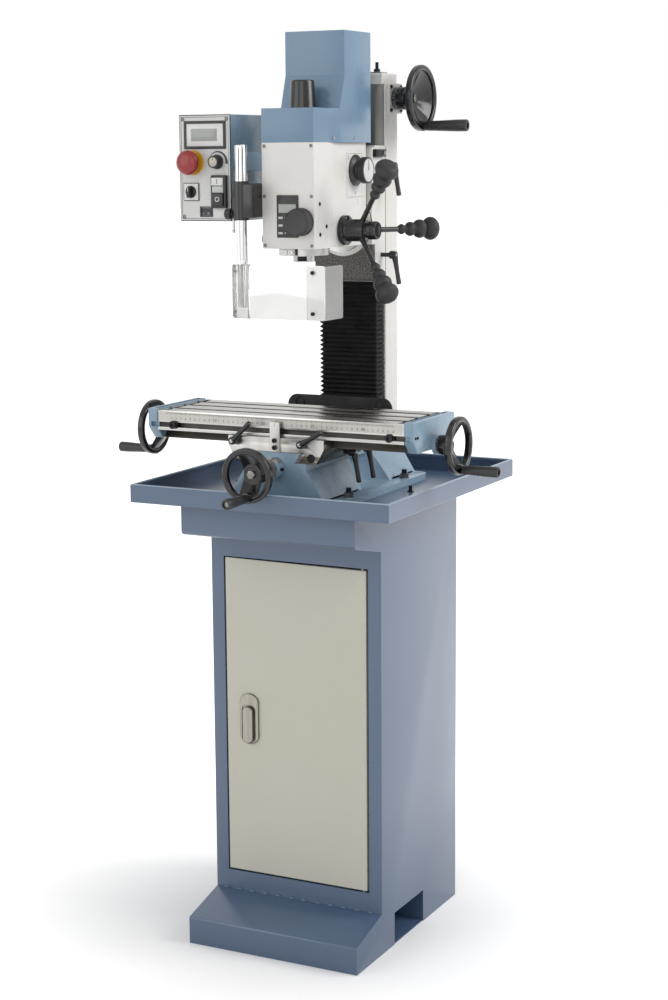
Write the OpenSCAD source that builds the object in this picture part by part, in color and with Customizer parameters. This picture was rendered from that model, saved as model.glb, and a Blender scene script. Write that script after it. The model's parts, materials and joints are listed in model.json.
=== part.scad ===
// Bench mill drill on a cabinet stand with a chip tray.
// Frame: origin on the floor straight below the spindle axis, +Z up, +X to the operator's
// right when facing the machine, +Y from the operator towards the column. Millimetres.

/* [Stand] */
// Width of the cabinet
cab_w = 352; // [330:1:380]
// Height from the floor to the underside of the chip tray
stand_h = 846; // [800:1:900]
// Cabinet front face behind the spindle axis
cab_front = -50; // [-60:1:-40]
// Cabinet rear face behind the spindle axis
cab_rear = 292; // [280:1:320]
// Apron and foot front face
apron_front = -157; // [-170:1:-145]
// Height of the foot's front edge
foot_h = 52; // [45:1:60]
// Height at which the sloping foot meets the cabinet front
foot_top = 79; // [72:1:88]
// Height of the apron under the top of the stand
apron_h = 59; // [51:1:71]
// Depth by which the apron's underside falls towards the cabinet front
apron_fall = 23; // [17:1:35]
// Sheet thickness of the stand
sheet = 3; // [2:0.5:4]
// Start of the pallet fork channel behind the spindle axis
fork_y = 5; // [4:1:15]
// Width of the fork channel
fork_w = 130; // [120:1:140]
// Height of the fork channel
fork_h = 63; // [55:1:66]
// Width of the door opening
door_open_w = 300; // [280:1:310]
// Bottom edge of the door opening
door_open_z = 116; // [110:1:130]
// Height of the door opening
door_open_h = 614; // [580:1:630]

/* [Door] */
// Gap between the door leaf and its opening
door_gap = 4; // [3.5:0.5:5]
// Depth of the folded door leaf
door_t = 10; // [8:1:12]
// Sheet thickness of the door
door_sheet = 1.5; // [1:0.5:2]
// How far the door stands proud of the cabinet front
door_proud = 2; // [1:0.5:3]
// Radius of the door's hinge pins
pin_r = 2.5; // [2:0.5:3]
// Width of the lock plate
lock_w = 39; // [34:1:44]
// Height of the lock plate
lock_h = 98; // [90:1:110]
// Lock centre above the floor
lock_z = 422; // [380:1:460]
// Lock centre, left of the middle of the door
lock_x = -97; // [-110:1:-90]

/* [Chip tray] */
// Width of the tray
tray_w = 520; // [500:1:560]
// Front edge of the tray
tray_front = -194; // [-205:1:-185]
// Rear edge of the tray
tray_rear = 373; // [360:1:390]
// Sheet thickness of the tray
tray_t = 2; // [1.5:0.5:3]
// Height of the tray rim
tray_h = 34; // [28:1:40]
// Depth of the rolled hem along the rim
hem_h = 7; // [5:1:9]
// Thickness of the rolled hem
hem_t = 6; // [5:0.5:8]

/* [Base casting] */
// Half width of the base flange
base_hw = 127; // [118:1:135]
// Front face of the base
base_front = -119; // [-125:1:-110]
// Rear face of the base
base_rear = 275; // [272:1:285]
// Thickness of the base flange
base_flange = 12; // [9:1:15]
// Height of the flat ways above the tray
base_h = 78; // [72:1:84]
// Half width of the base skirt just above the flange
skirt_bottom = 96; // [90:1:100]
// Half width of the base skirt at the ways
skirt_top = 62; // [58:1:66]
// Front of the pedestal that carries the column
pedestal_y = 172; // [168:1:176]
// Height of the pedestal above the ways
pedestal_h = 14; // [8:1:20]
// Depth of the hollow in each flank
flank_in = 20; // [12:1:26]
// Wall thickness of the base casting
base_wall = 12; // [9:1:15]
// Distance of the mounting studs from the middle
stud_x = 113; // [108:1:116]
// Front stud position
stud_front = -52; // [-60:1:-40]
// Rear stud position
stud_rear = 186; // [175:1:195]
// Radius of the mounting studs
stud_r = 5; // [4:0.5:6]

/* [Ways] */
// Dovetail height of the cross ways
cross_dt_h = 18; // [14:1:20]
// Half width of the cross dovetail at its foot
cross_dt_w = 40; // [36:1:44]
// Sideways slope of a dovetail over its height
dt_slope = 0.6; // [0.5:0.05:0.7]
// Running gap between sliding faces
slide_gap = 0.3; // [0.2:0.05:0.4]
// Thickness of the taper gibs
gib_t = 5; // [4:0.5:6]

/* [Saddle] */
// How far the saddle stands out in front of the table
saddle_over = 7; // [5:1:10]
// Rear face of the saddle
saddle_rear = 62; // [55:1:70]
// Height of the saddle body up to the table ways
saddle_h = 27; // [25:1:32]
// Half width of the saddle at the table ways
saddle_top_hw = 97; // [92:1:104]
// Half width of the saddle at the base ways
saddle_bottom_hw = 82; // [78:1:88]
// Width of the stop bracket
stop_w = 20; // [16:1:26]

/* [Table] */
// Length of the table
table_l = 500; // [440:1:560]
// Width of the table
table_w = 180; // [170:1:190]
// Middle of the table behind the spindle axis at rest
table_y = -21; // [-26:1:-18]
// Thickness of the table slab
slab_t = 36.5; // [34:0.5:40]
// Height of the table's dovetail rail
rail_h = 17; // [15:1:19]
// Width of the table's dovetail rail at its foot
rail_w = 132; // [124:1:136]
// Width of the T-slots
tslot_w = 12; // [10:1:14]
// Width of the T-slot undercut
tslot_under = 20; // [18:1:24]
// Distance between T-slots
tslot_pitch = 50; // [46:1:56]
// Depth of the T-slot neck
tslot_neck = 9; // [7:1:11]
// Height of the T-slot undercut
tslot_head = 8; // [6:1:9]
// Thickness of the end brackets
bracket_t = 19; // [16:1:24]

/* [Feed screws] */
// Radius of the table and cross feed screws
screw_r = 8; // [7:0.5:9]
// Height of the table feed screw above the table ways of the saddle
x_screw_up = 8; // [6:0.5:9]
// Depth of the cross feed screw below the base ways
y_screw_down = 10; // [8:1:13]
// Distance from the table end to the middle of the wheel rim
x_wheel_out = 64; // [58:1:72]
// Distance from the base front to the middle of the cross wheel rim
y_wheel_out = 103; // [96:1:110]
// Radius of the table handwheels
x_wheel_r = 52; // [46:1:54]
// Radius of the cross handwheel
y_wheel_r = 49; // [44:1:52]
// Radius of the column handwheel
z_wheel_r = 61; // [56:1:62]
// Width of a handwheel rim along its axis
rim_t = 13; // [11:1:15]
// Radial width of a handwheel rim
rim_w = 11; // [9:1:13]
// Length of the handle on the table and cross wheels
handle_l = 70; // [60:1:80]
// Radius of the handles
handle_r = 9.5; // [8:0.5:11]
// Radius of the graduated dials
dial_r = 17; // [15:0.5:20]

/* [Column] */
// Half width of the column and of its saddle
col_hw = 60; // [56:1:62]
// Front of the column box behind the spindle axis
col_front = 218; // [216:1:222]
// Rear of the column box
col_rear = 272; // [270:1:274]
// Height of the column above the pedestal
col_l = 657; // [640:1:700]
// Height of the column dovetail
col_dt_h = 22; // [18:1:24]
// Half width of the column dovetail at its foot
col_dt_w = 36; // [33:1:38]
// Half width of the screw channel in the column
channel_hw = 18; // [16:1:20]
// Thickness of the column cap
cap_t = 20; // [16:1:24]
// Axis of the column screw behind the spindle axis
z_screw_y = 252; // [250:1:253]
// Height of the handwheel shaft below the top of the column
z_shaft_down = 26; // [25:1:30]
// Distance from the column side to the middle of the wheel rim
z_wheel_out = 58; // [54:1:64]
// Radius of the column screw
z_screw_r = 7; // [6:0.5:8]
// Number of teeth on each mitre gear
mitre_teeth = 14; // [13:1:14]
// Outer pitch radius of the mitre gears
mitre_r = 12; // [11.5:0.5:12.5]

/* [Covers] */
// Distance of the rubber apron behind the table
cover_back = 68; // [64:1:72]
// Height of the rubber apron's shelf above the cross dovetail
cover_up = 68; // [60:1:80]
// Width of the rubber apron
cover_w = 220; // [190:1:230]
// Thickness of the rubber apron
cover_sheet = 4; // [3:0.5:5]
// Corner radius of the rubber apron
cover_r = 20; // [14:1:24]
// Number of folds in the bellows
folds = 25; // [20:1:28]

/* [Column saddle] */
// Underside of the column saddle above the foot of the column
zsad_up = 292; // [285:1:300]
// Height of the column saddle
zsad_h = 252; // [240:1:256]
// Front of the column saddle behind the spindle axis
zsad_front = 171; // [170:1:173]
// Thickness of the swivel plate
swivel_t = 12; // [10:1:13]
// Height of the head's swivel axis above the underside of the head
swivel_up = 38; // [33:1:44]
// Outer radius of the graduated swivel ring
ring_r = 60; // [56:1:62]
// Radius of the swivel spigot
spigot_r = 20; // [16:1:24]

/* [Head] */
// Half width of the head casting
head_hw = 52; // [50:1:56]
// Front face of the head panel
head_front = -60; // [-64:1:-56]
// Rear of the head box behind the spindle axis
head_rear = 150; // [145:1:151]
// Underside of the head above the underside of the column saddle
head_up = 70; // [68:1:72]
// Height of the head casting
head_h = 187; // [180:1:200]
// Wall thickness of the head casting
head_wall = 8; // [6:1:10]
// Height of the low front part of the cover
cover_step = 60; // [55:1:70]
// Height of the cover's tower above the head
cover_h = 198; // [190:1:220]
// Half width of the cover's tower
tower_hw = 60; // [57:1:62]
// Front of the tower behind the spindle axis
tower_front = 48; // [46:1:52]
// Wall thickness of the cover
cover_t = 3; // [2:0.5:4]
// Height of the drawbar cap
bar_cap_h = 50; // [44:1:56]

/* [Quill and spindle] */
// Radius of the quill
quill_r = 30; // [28:1:32]
// Radial clearance of turning and sliding fits
fit = 0.05; // [0.02:0.01:0.08]
// Length of the spindle nose below the quill
nose_l = 12; // [10:1:16]
// Radius of the spindle nose
nose_r = 20; // [18:1:22]
// Radius of the spindle
spindle_r = 15; // [14:0.5:15.5]
// Large radius of the Morse taper No. 2 bore
taper_r = 8.89; // [8.8:0.01:9]
// Depth of the taper bore
taper_l = 64; // [60:1:68]
// Radius of the drawbar hole
bar_r = 5.5; // [5:0.1:6]
// Quill travel
quill_travel = 50; // [40:1:50]
// Module of the quill rack and its pinion
rack_m = 1.75; // [1.7:0.05:1.8]
// Teeth on the rack pinion
pinion_teeth = 20; // [19:1:21]

/* [Capstan] */
// Height of the capstan axis above the underside of the head
capstan_up = 30; // [28:1:34]
// Radius of the capstan flange
capstan_flange_r = 27; // [24:1:30]
// Distance of the capstan hub's end from the head side
capstan_out = 64; // [58:1:70]
// Distance of a grip's end from the capstan axis
spoke_r = 129; // [115:1:132]
// Angle by which the spokes lean outwards
spoke_lean = 35; // [28:1:40]

/* [Guard] */
// Guard post axis, left of the spindle
post_x = -81; // [-85:1:-79]
// Guard post axis in front of the spindle
post_y = -85; // [-88:1:-83]
// Radius of the guard post
post_r = 12; // [10:0.5:12.5]
// Top of the guard post above the underside of the head
post_up = 184; // [168:1:198]
// Height of the clear guard
guard_h = 96; // [85:1:100]
// Underside of the clear guard below the underside of the head
guard_drop = 123; // [117:1:127]
// Thickness of the clear panes
pane_t = 4; // [3:0.5:5]
// Right hand end of the guard
guard_right = 95; // [90:1:105]
// Depth of the guard's side pane
side_pane = 66; // [55:1:68]

/* [Control box] */
// Right side of the control box, left of the spindle
ctrl_right = -115; // [-118:1:-112]
// Width of the control box
ctrl_w = 107; // [100:1:115]
// Underside of the control box above the underside of the head
ctrl_up = 48; // [43:1:58]
// Height of the control box
ctrl_h = 190; // [184:1:196]
// Depth of the control box
ctrl_d = 115; // [100:1:125]

/* [Clamp levers] */
// Length of a clamp lever
lever_l = 56; // [48:1:64]
// Radius of a clamp screw
clamp_r = 4; // [3:0.5:5]

/* [Hidden] */
$fn = 64;

// Colours
blue = "#8faac6";
beige = "#b0ae9f";
white = "#dedcd6";
black = "#1d1d1f";
steel = "#b9bbbd";
iron = "#8b8d8f";
bronze = "#a8824a";

// Small steps
over = 1;                      // how far a cut runs past a face
gap = slide_gap;               // gap between pieces that move apart
flat = 0.4;                    // gap between a button and its panel

// Heights from the floor up
apron_z = stand_h - apron_h;
apron_join = apron_z - apron_fall;
tray_z = stand_h + tray_t;
way_z = tray_z + base_h;
cross_top = way_z + cross_dt_h;
table_way = way_z + saddle_h;
saddle_front = table_y - table_w / 2 - saddle_over;
slab_z = table_way + rail_h;
table_top = slab_z + slab_t;
pedestal_z = way_z + pedestal_h;
column_top = pedestal_z + col_l;
zsad_z = pedestal_z + zsad_up;
zsad_top = zsad_z + zsad_h;
head_z = zsad_z + head_up;
head_top = head_z + head_h;
swivel_z = head_z + swivel_up;
capstan_z = head_z + capstan_up;
post_top = head_z + post_up;
guard_z = head_z - guard_drop;
ctrl_z = head_z + ctrl_up;
cover_front_top = head_top + cover_step;
cover_top = head_top + cover_h;

// Door and its lock
door_w = door_open_w - 2 * door_gap;
door_z0 = door_open_z + door_gap;
door_z1 = door_open_z + door_open_h - door_gap;
door_y = cab_front - door_proud;
door_back = door_y + door_t;
lip_end = door_back + 1;
pin_x = door_w / 2 - 10;
pin_y = door_y + 9;
pin_l = 12;
lug_h = 12;
barrel_r = 9;
cam_t = 3;

// Feed screws
x_axis_z = table_way + x_screw_up;
y_axis_z = way_z - y_screw_down;
journal_r = 6;                 // plain ends of the screws
trough_hw = screw_r + 5;       // half width of a screw trough
nut_hw = trough_hw - 1.5;
nut_half_l = 13;
y_nut_y = 10;                  // middle of the cross feed nut
x_wheel_x = table_l / 2 + x_wheel_out;
y_wheel_y = base_front - y_wheel_out;
y_boss_r = 19.5;
y_boss_l = 29;
z_axis_z = column_top - z_shaft_down;
z_wheel_x = col_hw + z_wheel_out;
dish = 20;                     // how far a wheel's hub sits back from its rim
wheel_hub_r = 18;
spoke_hw = 17;                 // half width of the flat web that makes both spokes
bolt_r = 3;
bolt_head_r = 5;
z_handle_l = 88;
z_handle_r = 11;
z_dial_r = 21;

// Studs of the base
stud_head_h = 5;
stud_hex_r = 9;                // corner radius of the heads and nuts
washer_t = 1.5;
stud_nut_h = 7.5;
stud_end = 17;                 // end of the thread above its seat

// Base: upright cylinders that hollow the flanks
flank_r = 60;
flank_x = skirt_top - flank_in + flank_r;
flank_y = 97;

// Table
rail_top_hw = rail_w / 2 - (rail_h + over) * dt_slope;
groove_z = slab_z + 6;         // front stop groove
groove_h = 9;
groove_d = 8;
end_trough_w = 12;
end_trough_d = 12;

// Column
channel_back = z_screw_y + mitre_r + 2;
col_dt_front = col_front - col_dt_h;
shelf_z = z_axis_z - mitre_r - 24;
shelf_h = 12;
foot_h_in = 25;                // solid foot below the screw channel
z_nut_z = zsad_z + 0.45 * zsad_h;
z_nut_h = 40;
flange_t = 6;
flange_w = 56;

// Swivel
plate_front = zsad_front - swivel_t;
ring_front = plate_front - 4;
spigot_l = 12;

// Head
sleeve_r = quill_r + 10;
sleeve_l = quill_travel + 48;  // length of the quill's guide
ring_under = 13;               // clamp ring under the head
clamp_ring_r = 46;
deck_t = 12;
motor_y = (tower_front + head_rear) / 2 + 2;
motor_r = 40;
motor_h = cover_h - 30;
pulley_z = head_top - deck_t - 36;
pulley_h = 18;
drive_r = 26;
motor_pulley_r = 14;
belt_t = 3;
hub_r = 16;
rack_pitch = PI * rack_m;
rack_below = 18;               // most tooth gaps below and above the pinion's axis
rack_above = 40;
pinion_r = rack_m * pinion_teeth / 2;
rack_y = quill_r + 8;          // pitch line of the quill rack
capstan_y = rack_y + pinion_r;
quill_bottom = head_z - ring_under;
quill_top = head_z + sleeve_l;
spline_up = 88;                // length of the spindle above the quill
spindle_top = quill_top + spline_up;
sleeve_bottom = quill_top + 6;
taper_slope = 0.025;           // change of the taper's radius over 1 mm
spline_r = 9;
spline_w = 4;
shaft_r = 9;

// Controls on the head
selector_y = 105;              // axis of the gear selector
selector_up = 137;             // axis above the underside of the head
selector_z = head_z + selector_up;
selector_shaft_r = 5;
fine_x = 27;                   // axis of the fine feed knob
fine_up = 48;
fine_z = head_z + fine_up;
fine_shaft_r = 5;

// Control box: places on its panel, from its right edge and its underside
panel_y = head_front;
box_wall = 2.5;
button_stem = 14;
ctrl_left = ctrl_right - ctrl_w;
estop_in = [78, 105];
speed_in = [28, 106];
mode_in = [82.5, 52.5];
push_in = [23, 53];
rocker_in = [52, 17];
function on_panel(place) = [ctrl_right - place[0], ctrl_z + place[1]];
estop_at = on_panel(estop_in);
speed_at = on_panel(speed_in);
mode_at = on_panel(mode_in);
push_at = on_panel(push_in);
rocker_at = on_panel(rocker_in);
push_hw = 10;
start_dz = [11, 25];
stop_dz = [-25, -3];
rocker_hw = 11;

// Guard
guard_top = guard_z + guard_h;
neck_r = post_r - 4;
collar_r = post_r + 2;
arm_up = [51, 120];            // clamp of the post above the underside of the head
clamp_arm = [head_z + arm_up[0], head_z + arm_up[1]];
collar_z = guard_z + 24;

// Capstan grips: radius of the smallest bulb and what each next one adds
bulb_r = 7.5;
bulb_step = 3;

// Clamp levers: places of their screws
x_lock_x = [-83, 55];
y_lock_x = saddle_top_hw - 2;
y_lock_y = [-10, 50];
y_lock_z = way_z + 9;
z_lock_x = col_hw + 18;
z_lock_y = col_front - 18;
z_lock_up = [49, 214];         // heights of the Z clamps above the foot of the Z saddle
z_lock_z = [zsad_z + z_lock_up[0], zsad_z + z_lock_up[1]];
y_lock_stem = 24;
z_lock_stem = 26;

// Box between the limits given along each axis
module block(x, y, z) translate([x[0], y[0], z[0]]) cube([x[1] - x[0], y[1] - y[0], z[1] - z[0]]);

// Round bars along each axis, centred on the origin of the other two
module rod_x(r, from, to) translate([from, 0, 0]) rotate([0, 90, 0]) cylinder(r = r, h = to - from);
module rod_y(r, from, to) translate([0, from, 0]) rotate([-90, 0, 0]) cylinder(r = r, h = to - from);
module rod_z(r, from, to) translate([0, 0, from]) cylinder(r = r, h = to - from);

// Outlines pushed along one axis: [y, z] points along X, [x, z] points along Y
module prism_x(points, from, to)
    translate([from, 0, 0]) rotate([90, 0, 90]) linear_extrude(to - from) polygon(points);
module prism_y(points, from, to)
    translate([0, to, 0]) rotate([90, 0, 0]) linear_extrude(to - from) polygon(points);

// Rectangle with true round corners
module round_rect(w, d, r) {
    square([w - 2 * r, d], center = true);
    square([w, d - 2 * r], center = true);
    for (x = [-1, 1], y = [-1, 1]) translate([x * (w / 2 - r), y * (d / 2 - r)]) circle(r);
}

// The same piece on both sides of the middle plane
module both_sides() {
    children();
    mirror([1, 0, 0]) children();
}

// Side outline of the stand, drawn in by t: foot, cabinet front and sloping apron
function stand_outline(t) = [
    [apron_front + t, stand_h - t], [apron_front + t, apron_z + t], [cab_front + t, apron_join + t],
    [cab_front + t, foot_top - t], [apron_front + t, foot_h - t], [apron_front + t, t],
    [cab_rear - t, t], [cab_rear - t, stand_h - t]
];

module fork_channel(t)
    block([-cab_w, cab_w], [fork_y - t, fork_y + fork_w + t], [-over, fork_h + t]);

module door_lug(z) {
    block([pin_x - 10, door_open_w / 2 + sheet], [cab_front + sheet, pin_y + 8], [z, z + lug_h]);
}

module stand() color(blue) difference() {
    union() {
        difference() {
            prism_x(stand_outline(0), -cab_w / 2, cab_w / 2);
            difference() {
                prism_x(stand_outline(sheet), -cab_w / 2 + sheet, cab_w / 2 - sheet);
                fork_channel(sheet);
            }
        }
        // Folded return round the door opening
        block([-door_open_w / 2 - sheet, door_open_w / 2 + sheet], [cab_front, lip_end],
              [door_open_z - sheet, door_open_z + door_open_h + sheet]);
        door_lug(door_open_z - sheet - lug_h);
        door_lug(door_open_z + door_open_h + sheet);
    }
    fork_channel(0);
    block([-door_open_w / 2, door_open_w / 2], [cab_front - over, lip_end + over],
          [door_open_z, door_open_z + door_open_h]);
    translate([pin_x, pin_y, 0]) rod_z(pin_r + fit, door_z0 - pin_l - gap, door_z1 + pin_l + gap);
    stud_holes();
}

// Clearance holes for the four studs that hold the machine down
module stud_holes()
    for (y = [stud_front, stud_rear]) both_sides()
        translate([stud_x, y, 0]) rod_z(stud_r + 0.5, stand_h - 2 * sheet, tray_z + base_flange + over);

module chip_tray() color(blue) difference() {
    block([-tray_w / 2, tray_w / 2], [tray_front, tray_rear], [stand_h, stand_h + tray_h]);
    block([-tray_w / 2 + tray_t, tray_w / 2 - tray_t], [tray_front + tray_t, tray_rear - tray_t],
          [tray_z, stand_h + tray_h - hem_h]);
    block([-tray_w / 2 + hem_t, tray_w / 2 - hem_t], [tray_front + hem_t, tray_rear - hem_t],
          [tray_z + over, stand_h + tray_h + over]);
    stud_holes();
}

// Cross-section of the base below the ways, drawn in by t
function base_outline(t) = [
    [-skirt_bottom + t, tray_z + base_flange - over], [-skirt_top + t, way_z - base_flange],
    [-skirt_top + t, way_z - t], [skirt_top - t, way_z - t], [skirt_top - t, way_z - base_flange],
    [skirt_bottom - t, tray_z + base_flange - over]
];

// Male dovetail with its foot at z = 0, tip up; g widens it
function dovetail(hw, h, g) = [
    [-hw - g, -g], [hw + g, -g], [hw + g + (h + g) * dt_slope, h + g], [-hw - g - (h + g) * dt_slope, h + g]
];

// Cross-section of the hollow under the base
hollow_hw = base_hw - 2 * base_wall;
hollow_top_hw = skirt_top - flank_in - base_wall;
hollow_outline = [
    [-hollow_hw, tray_z - over], [-hollow_hw, tray_z + base_flange - 2],
    [-hollow_top_hw, way_z - 3 * base_wall], [hollow_top_hw, way_z - 3 * base_wall],
    [hollow_hw, tray_z + base_flange - 2], [hollow_hw, tray_z - over]
];

module base() color(blue) difference() {
    union() {
        translate([0, (base_front + base_rear) / 2, tray_z])
            linear_extrude(base_flange) round_rect(2 * base_hw, base_rear - base_front, 25);
        prism_y(base_outline(0), base_front, base_rear - 2);
        translate([0, 0, way_z]) prism_y(dovetail(cross_dt_w, cross_dt_h, 0), base_front, pedestal_y);
        block([-col_hw, col_hw], [pedestal_y, base_rear - 2], [way_z - over, pedestal_z]);
        translate([0, 0, y_axis_z]) rod_y(y_boss_r, base_front - y_boss_l, base_front);
    }
    // Hollows in the flanks, under the ways
    both_sides() translate([flank_x, flank_y, 0])
        rod_z(flank_r, tray_z + base_flange, way_z - base_flange);
    // The casting is hollow from below
    difference() {
        prism_y(hollow_outline, base_front + base_wall, base_rear - base_wall);
        both_sides() translate([flank_x, flank_y, 0]) rod_z(flank_r + base_wall, tray_z - 2 * over, way_z);
    }
    // Trough of the cross feed screw, open to the ways
    block([-trough_hw, trough_hw], [base_front + base_wall, pedestal_y - base_wall],
          [y_axis_z - screw_r - 3, cross_top + over]);
    translate([0, 0, y_axis_z])
        rod_y(journal_r + fit, base_front - y_boss_l - over, base_front + base_wall + over);
    stud_holes();
}

// Stud with a hexagon head under the stand's top and a nut and washer on the base
module base_studs() color(iron) {
    head_top_z = stand_h - sheet;
    seat_z = tray_z + base_flange;
    for (y = [stud_front, stud_rear]) both_sides() translate([stud_x, y, 0]) {
        rod_z(stud_r, head_top_z - stud_head_h, seat_z + stud_end);
        translate([0, 0, head_top_z - stud_head_h]) cylinder(r = stud_hex_r, h = stud_head_h, $fn = 6);
        rod_z(stud_hex_r + 0.5, seat_z, seat_z + washer_t);
        translate([0, 0, seat_z + washer_t]) cylinder(r = stud_hex_r, h = stud_nut_h, $fn = 6);
    }
}

// Column dovetail in plan: foot on the column's front, tip towards the operator
module column_dovetail(g, z0, z1)
    translate([0, 0, z0]) linear_extrude(z1 - z0) polygon([
        [-col_dt_w - g, col_front + g], [col_dt_w + g, col_front + g],
        [col_dt_w + g + (col_dt_h + g) * dt_slope, col_dt_front - g],
        [-col_dt_w - g - (col_dt_h + g) * dt_slope, col_dt_front - g]
    ]);

module column() color(white) difference() {
    union() {
        block([-col_hw, col_hw], [col_front, col_rear], [pedestal_z, column_top]);
        column_dovetail(0, pedestal_z, column_top);
    }
    difference() {
        block([-channel_hw, channel_hw], [col_dt_front - over, channel_back],
              [pedestal_z + foot_h_in, column_top + over]);
        block([-channel_hw - over, channel_hw + over], [z_screw_y - mitre_r - 4, col_rear],
              [shelf_z, shelf_z + shelf_h]);
    }
    translate([0, z_screw_y, 0])
        rod_z(journal_r + fit, pedestal_z + foot_h_in - 15, shelf_z + shelf_h + over);
    translate([0, z_screw_y, z_axis_z]) rod_x(mitre_r, channel_hw - over, col_hw + over);
}

module column_cap() color(white)
    block([-col_hw, col_hw], [col_dt_front + 9, col_rear - 2], [column_top, column_top + cap_t]);

// Flanged bearing of the column handwheel shaft
module z_bearing() color(white) translate([0, z_screw_y, z_axis_z]) difference() {
    union() {
        block([col_hw, col_hw + flange_t], [-flange_w / 2, flange_w / 2], [-flange_w / 2, flange_w / 2]);
        rod_x(mitre_r, channel_hw, col_hw + over);
    }
    rod_x(journal_r + fit, channel_hw - over, col_hw + flange_t + over);
}

// Rubber apron over the rear of the cross ways: an upright sheet with a shelf back to the column
module way_cover() color(black) {
    front = table_y + table_w / 2 + cover_back;
    sheet_top = cover_up + 5;
    translate([0, front + cover_sheet, cross_top]) rotate([90, 0, 0])
        linear_extrude(cover_sheet) difference() {
            round_rect(cover_w, 2 * sheet_top, cover_r);
            translate([-cover_w, -2 * sheet_top]) square([2 * cover_w, 2 * sheet_top]);
        }
    block([-col_hw - 1, col_hw + 1], [front + cover_sheet - over, col_dt_front],
          [cross_top + cover_up - cover_sheet, cross_top + cover_up]);
}

// Bellows over the column ways: alternate wide and narrow folds round three sides of the dovetail
module bellows() color(black) {
    z0 = cross_top + cover_up;
    pitch = (zsad_z - gap - z0) / (2 * folds + 1);
    for (i = [0 : 2 * folds]) {
        inset = i % 2 == 0 ? 4 : 0;
        difference() {
            block([-col_hw + inset, col_hw - inset], [zsad_front + 6 + inset, col_front - 8],
                  [z0 + i * pitch, z0 + (i + 1) * pitch]);
            block([-col_hw + 7, col_hw - 7], [zsad_front + 13, col_front],
                  [z0 + i * pitch - over, z0 + (i + 1) * pitch + over]);
        }
    }
}

module door() color(beige) {
    difference() {
        block([-door_w / 2, door_w / 2], [door_y, door_back], [door_z0, door_z1]);
        block([-door_w / 2 + door_sheet, door_w / 2 - door_sheet], [door_y + door_sheet, door_back + over],
              [door_z0 + door_sheet, door_z1 - door_sheet]);
        translate([lock_x, 0, lock_z]) rod_y(barrel_r + fit, door_y - over, door_back);
    }
    for (z = [door_z0 - pin_l, door_z1 - pin_l]) translate([pin_x, pin_y, 0])
        rod_z(pin_r, z, z + 2 * pin_l);
}

module lock_plate() color(steel) translate([lock_x, door_y, lock_z]) difference() {
    block([-lock_w / 2, lock_w / 2], [-3, 0], [-lock_h / 2, lock_h / 2]);
    rod_y(barrel_r + fit, -4, over);
}

// Swing handle with its barrel and the cam that reaches behind the frame
module lock_lever() color(steel) translate([lock_x, 0, lock_z]) {
    reach = door_open_w / 2 + lock_x + 9;
    block([-11, 11], [door_y - 13, door_y - 3 - gap], [-lock_h / 2 + 8, 13]);
    rod_y(barrel_r, door_y - 4, lip_end + gap + cam_t);
    block([-reach, 8], [lip_end + gap, lip_end + gap + cam_t], [-8, 8]);
}

// Saddle: dovetail slot below for the base, dovetail slot above for the table
module saddle() color(iron) {
    slot_hw = rail_w / 2;
    lip_top = slab_z - gap;
    difference() {
        prism_y([[-saddle_bottom_hw, way_z], [saddle_bottom_hw, way_z], [saddle_top_hw, table_way],
                 [saddle_top_hw, lip_top], [-saddle_top_hw, lip_top], [-saddle_top_hw, table_way]],
                saddle_front, saddle_rear);
        // Lower slot, wider on the right for the gib
        for (x = [0, gib_t]) translate([x, 0, way_z])
            prism_y(dovetail(cross_dt_w, cross_dt_h, gap), saddle_front - over, saddle_rear + over);
        // Upper slot, wider in front for the gib
        prism_x([[table_y - slot_hw - gap - gib_t, table_way], [table_y + slot_hw + gap, table_way],
                 [table_y + slot_hw + gap - 20 * dt_slope, table_way + 20],
                 [table_y - slot_hw - gap - gib_t + 20 * dt_slope, table_way + 20]],
                -saddle_top_hw - over, saddle_top_hw + over);
        block([-saddle_top_hw - over, saddle_top_hw + over], [table_y - trough_hw, table_y + trough_hw],
              [x_axis_z - screw_r - 4, table_way + over]);
        for (x = x_lock_x) translate([x, 0, x_axis_z])
            rod_y(clamp_r + fit, saddle_front - over, saddle_front + 15);
        for (y = y_lock_y) translate([0, y, y_lock_z])
            rod_x(clamp_r + fit, skirt_top + 6, saddle_top_hw + over);
    }
}

// Bronze nuts of the cross feed and of the table feed
module feed_nuts() color(bronze) {
    difference() {
        block([-nut_hw, nut_hw], [y_nut_y - nut_half_l, y_nut_y + nut_half_l],
              [y_axis_z - screw_r - 2, cross_top + gap]);
        translate([0, y_nut_y, y_axis_z]) rod_y(screw_r + fit, -nut_half_l - over, nut_half_l + over);
    }
    difference() {
        block([-nut_half_l, nut_half_l], [table_y - nut_hw, table_y + nut_hw],
              [x_axis_z - screw_r - 4, slab_z + 1.5]);
        translate([0, table_y, x_axis_z]) rod_x(screw_r + fit, -nut_half_l - over, nut_half_l + over);
    }
}

// Adjusting strips: one beside the base dovetail, one in front of the table rail
module saddle_gibs() color(steel) {
    h = cross_dt_h - 2;
    x0 = cross_dt_w + gap;
    translate([0, 0, way_z + 1]) prism_y([
        [x0 + dt_slope + gap, 0], [x0 + dt_slope + gib_t, 0],
        [x0 + dt_slope * (h + 1) + gib_t, h], [x0 + dt_slope * (h + 1) + gap, h]
    ], saddle_front + 2, saddle_rear - 2);
    y0 = table_y - rail_w / 2 - gap;
    k = rail_h - 2;
    lean = (k + 1) * dt_slope;
    prism_x([
        [y0 - gap + dt_slope, table_way + 1], [y0 - gib_t + dt_slope, table_way + 1],
        [y0 - gib_t + lean, table_way + 1 + k], [y0 - gap + lean, table_way + 1 + k]
    ], -saddle_top_hw + 2, saddle_top_hw - 2);
}

// Bracket on the saddle's front that the table stops run against, with the ruler's pointer
module stop_bracket() color(steel) {
    bracket_y = saddle_front - 3;
    block([-stop_w / 2, stop_w / 2], [bracket_y, saddle_front], [cross_top + gap, slab_z + 28]);
}

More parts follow.
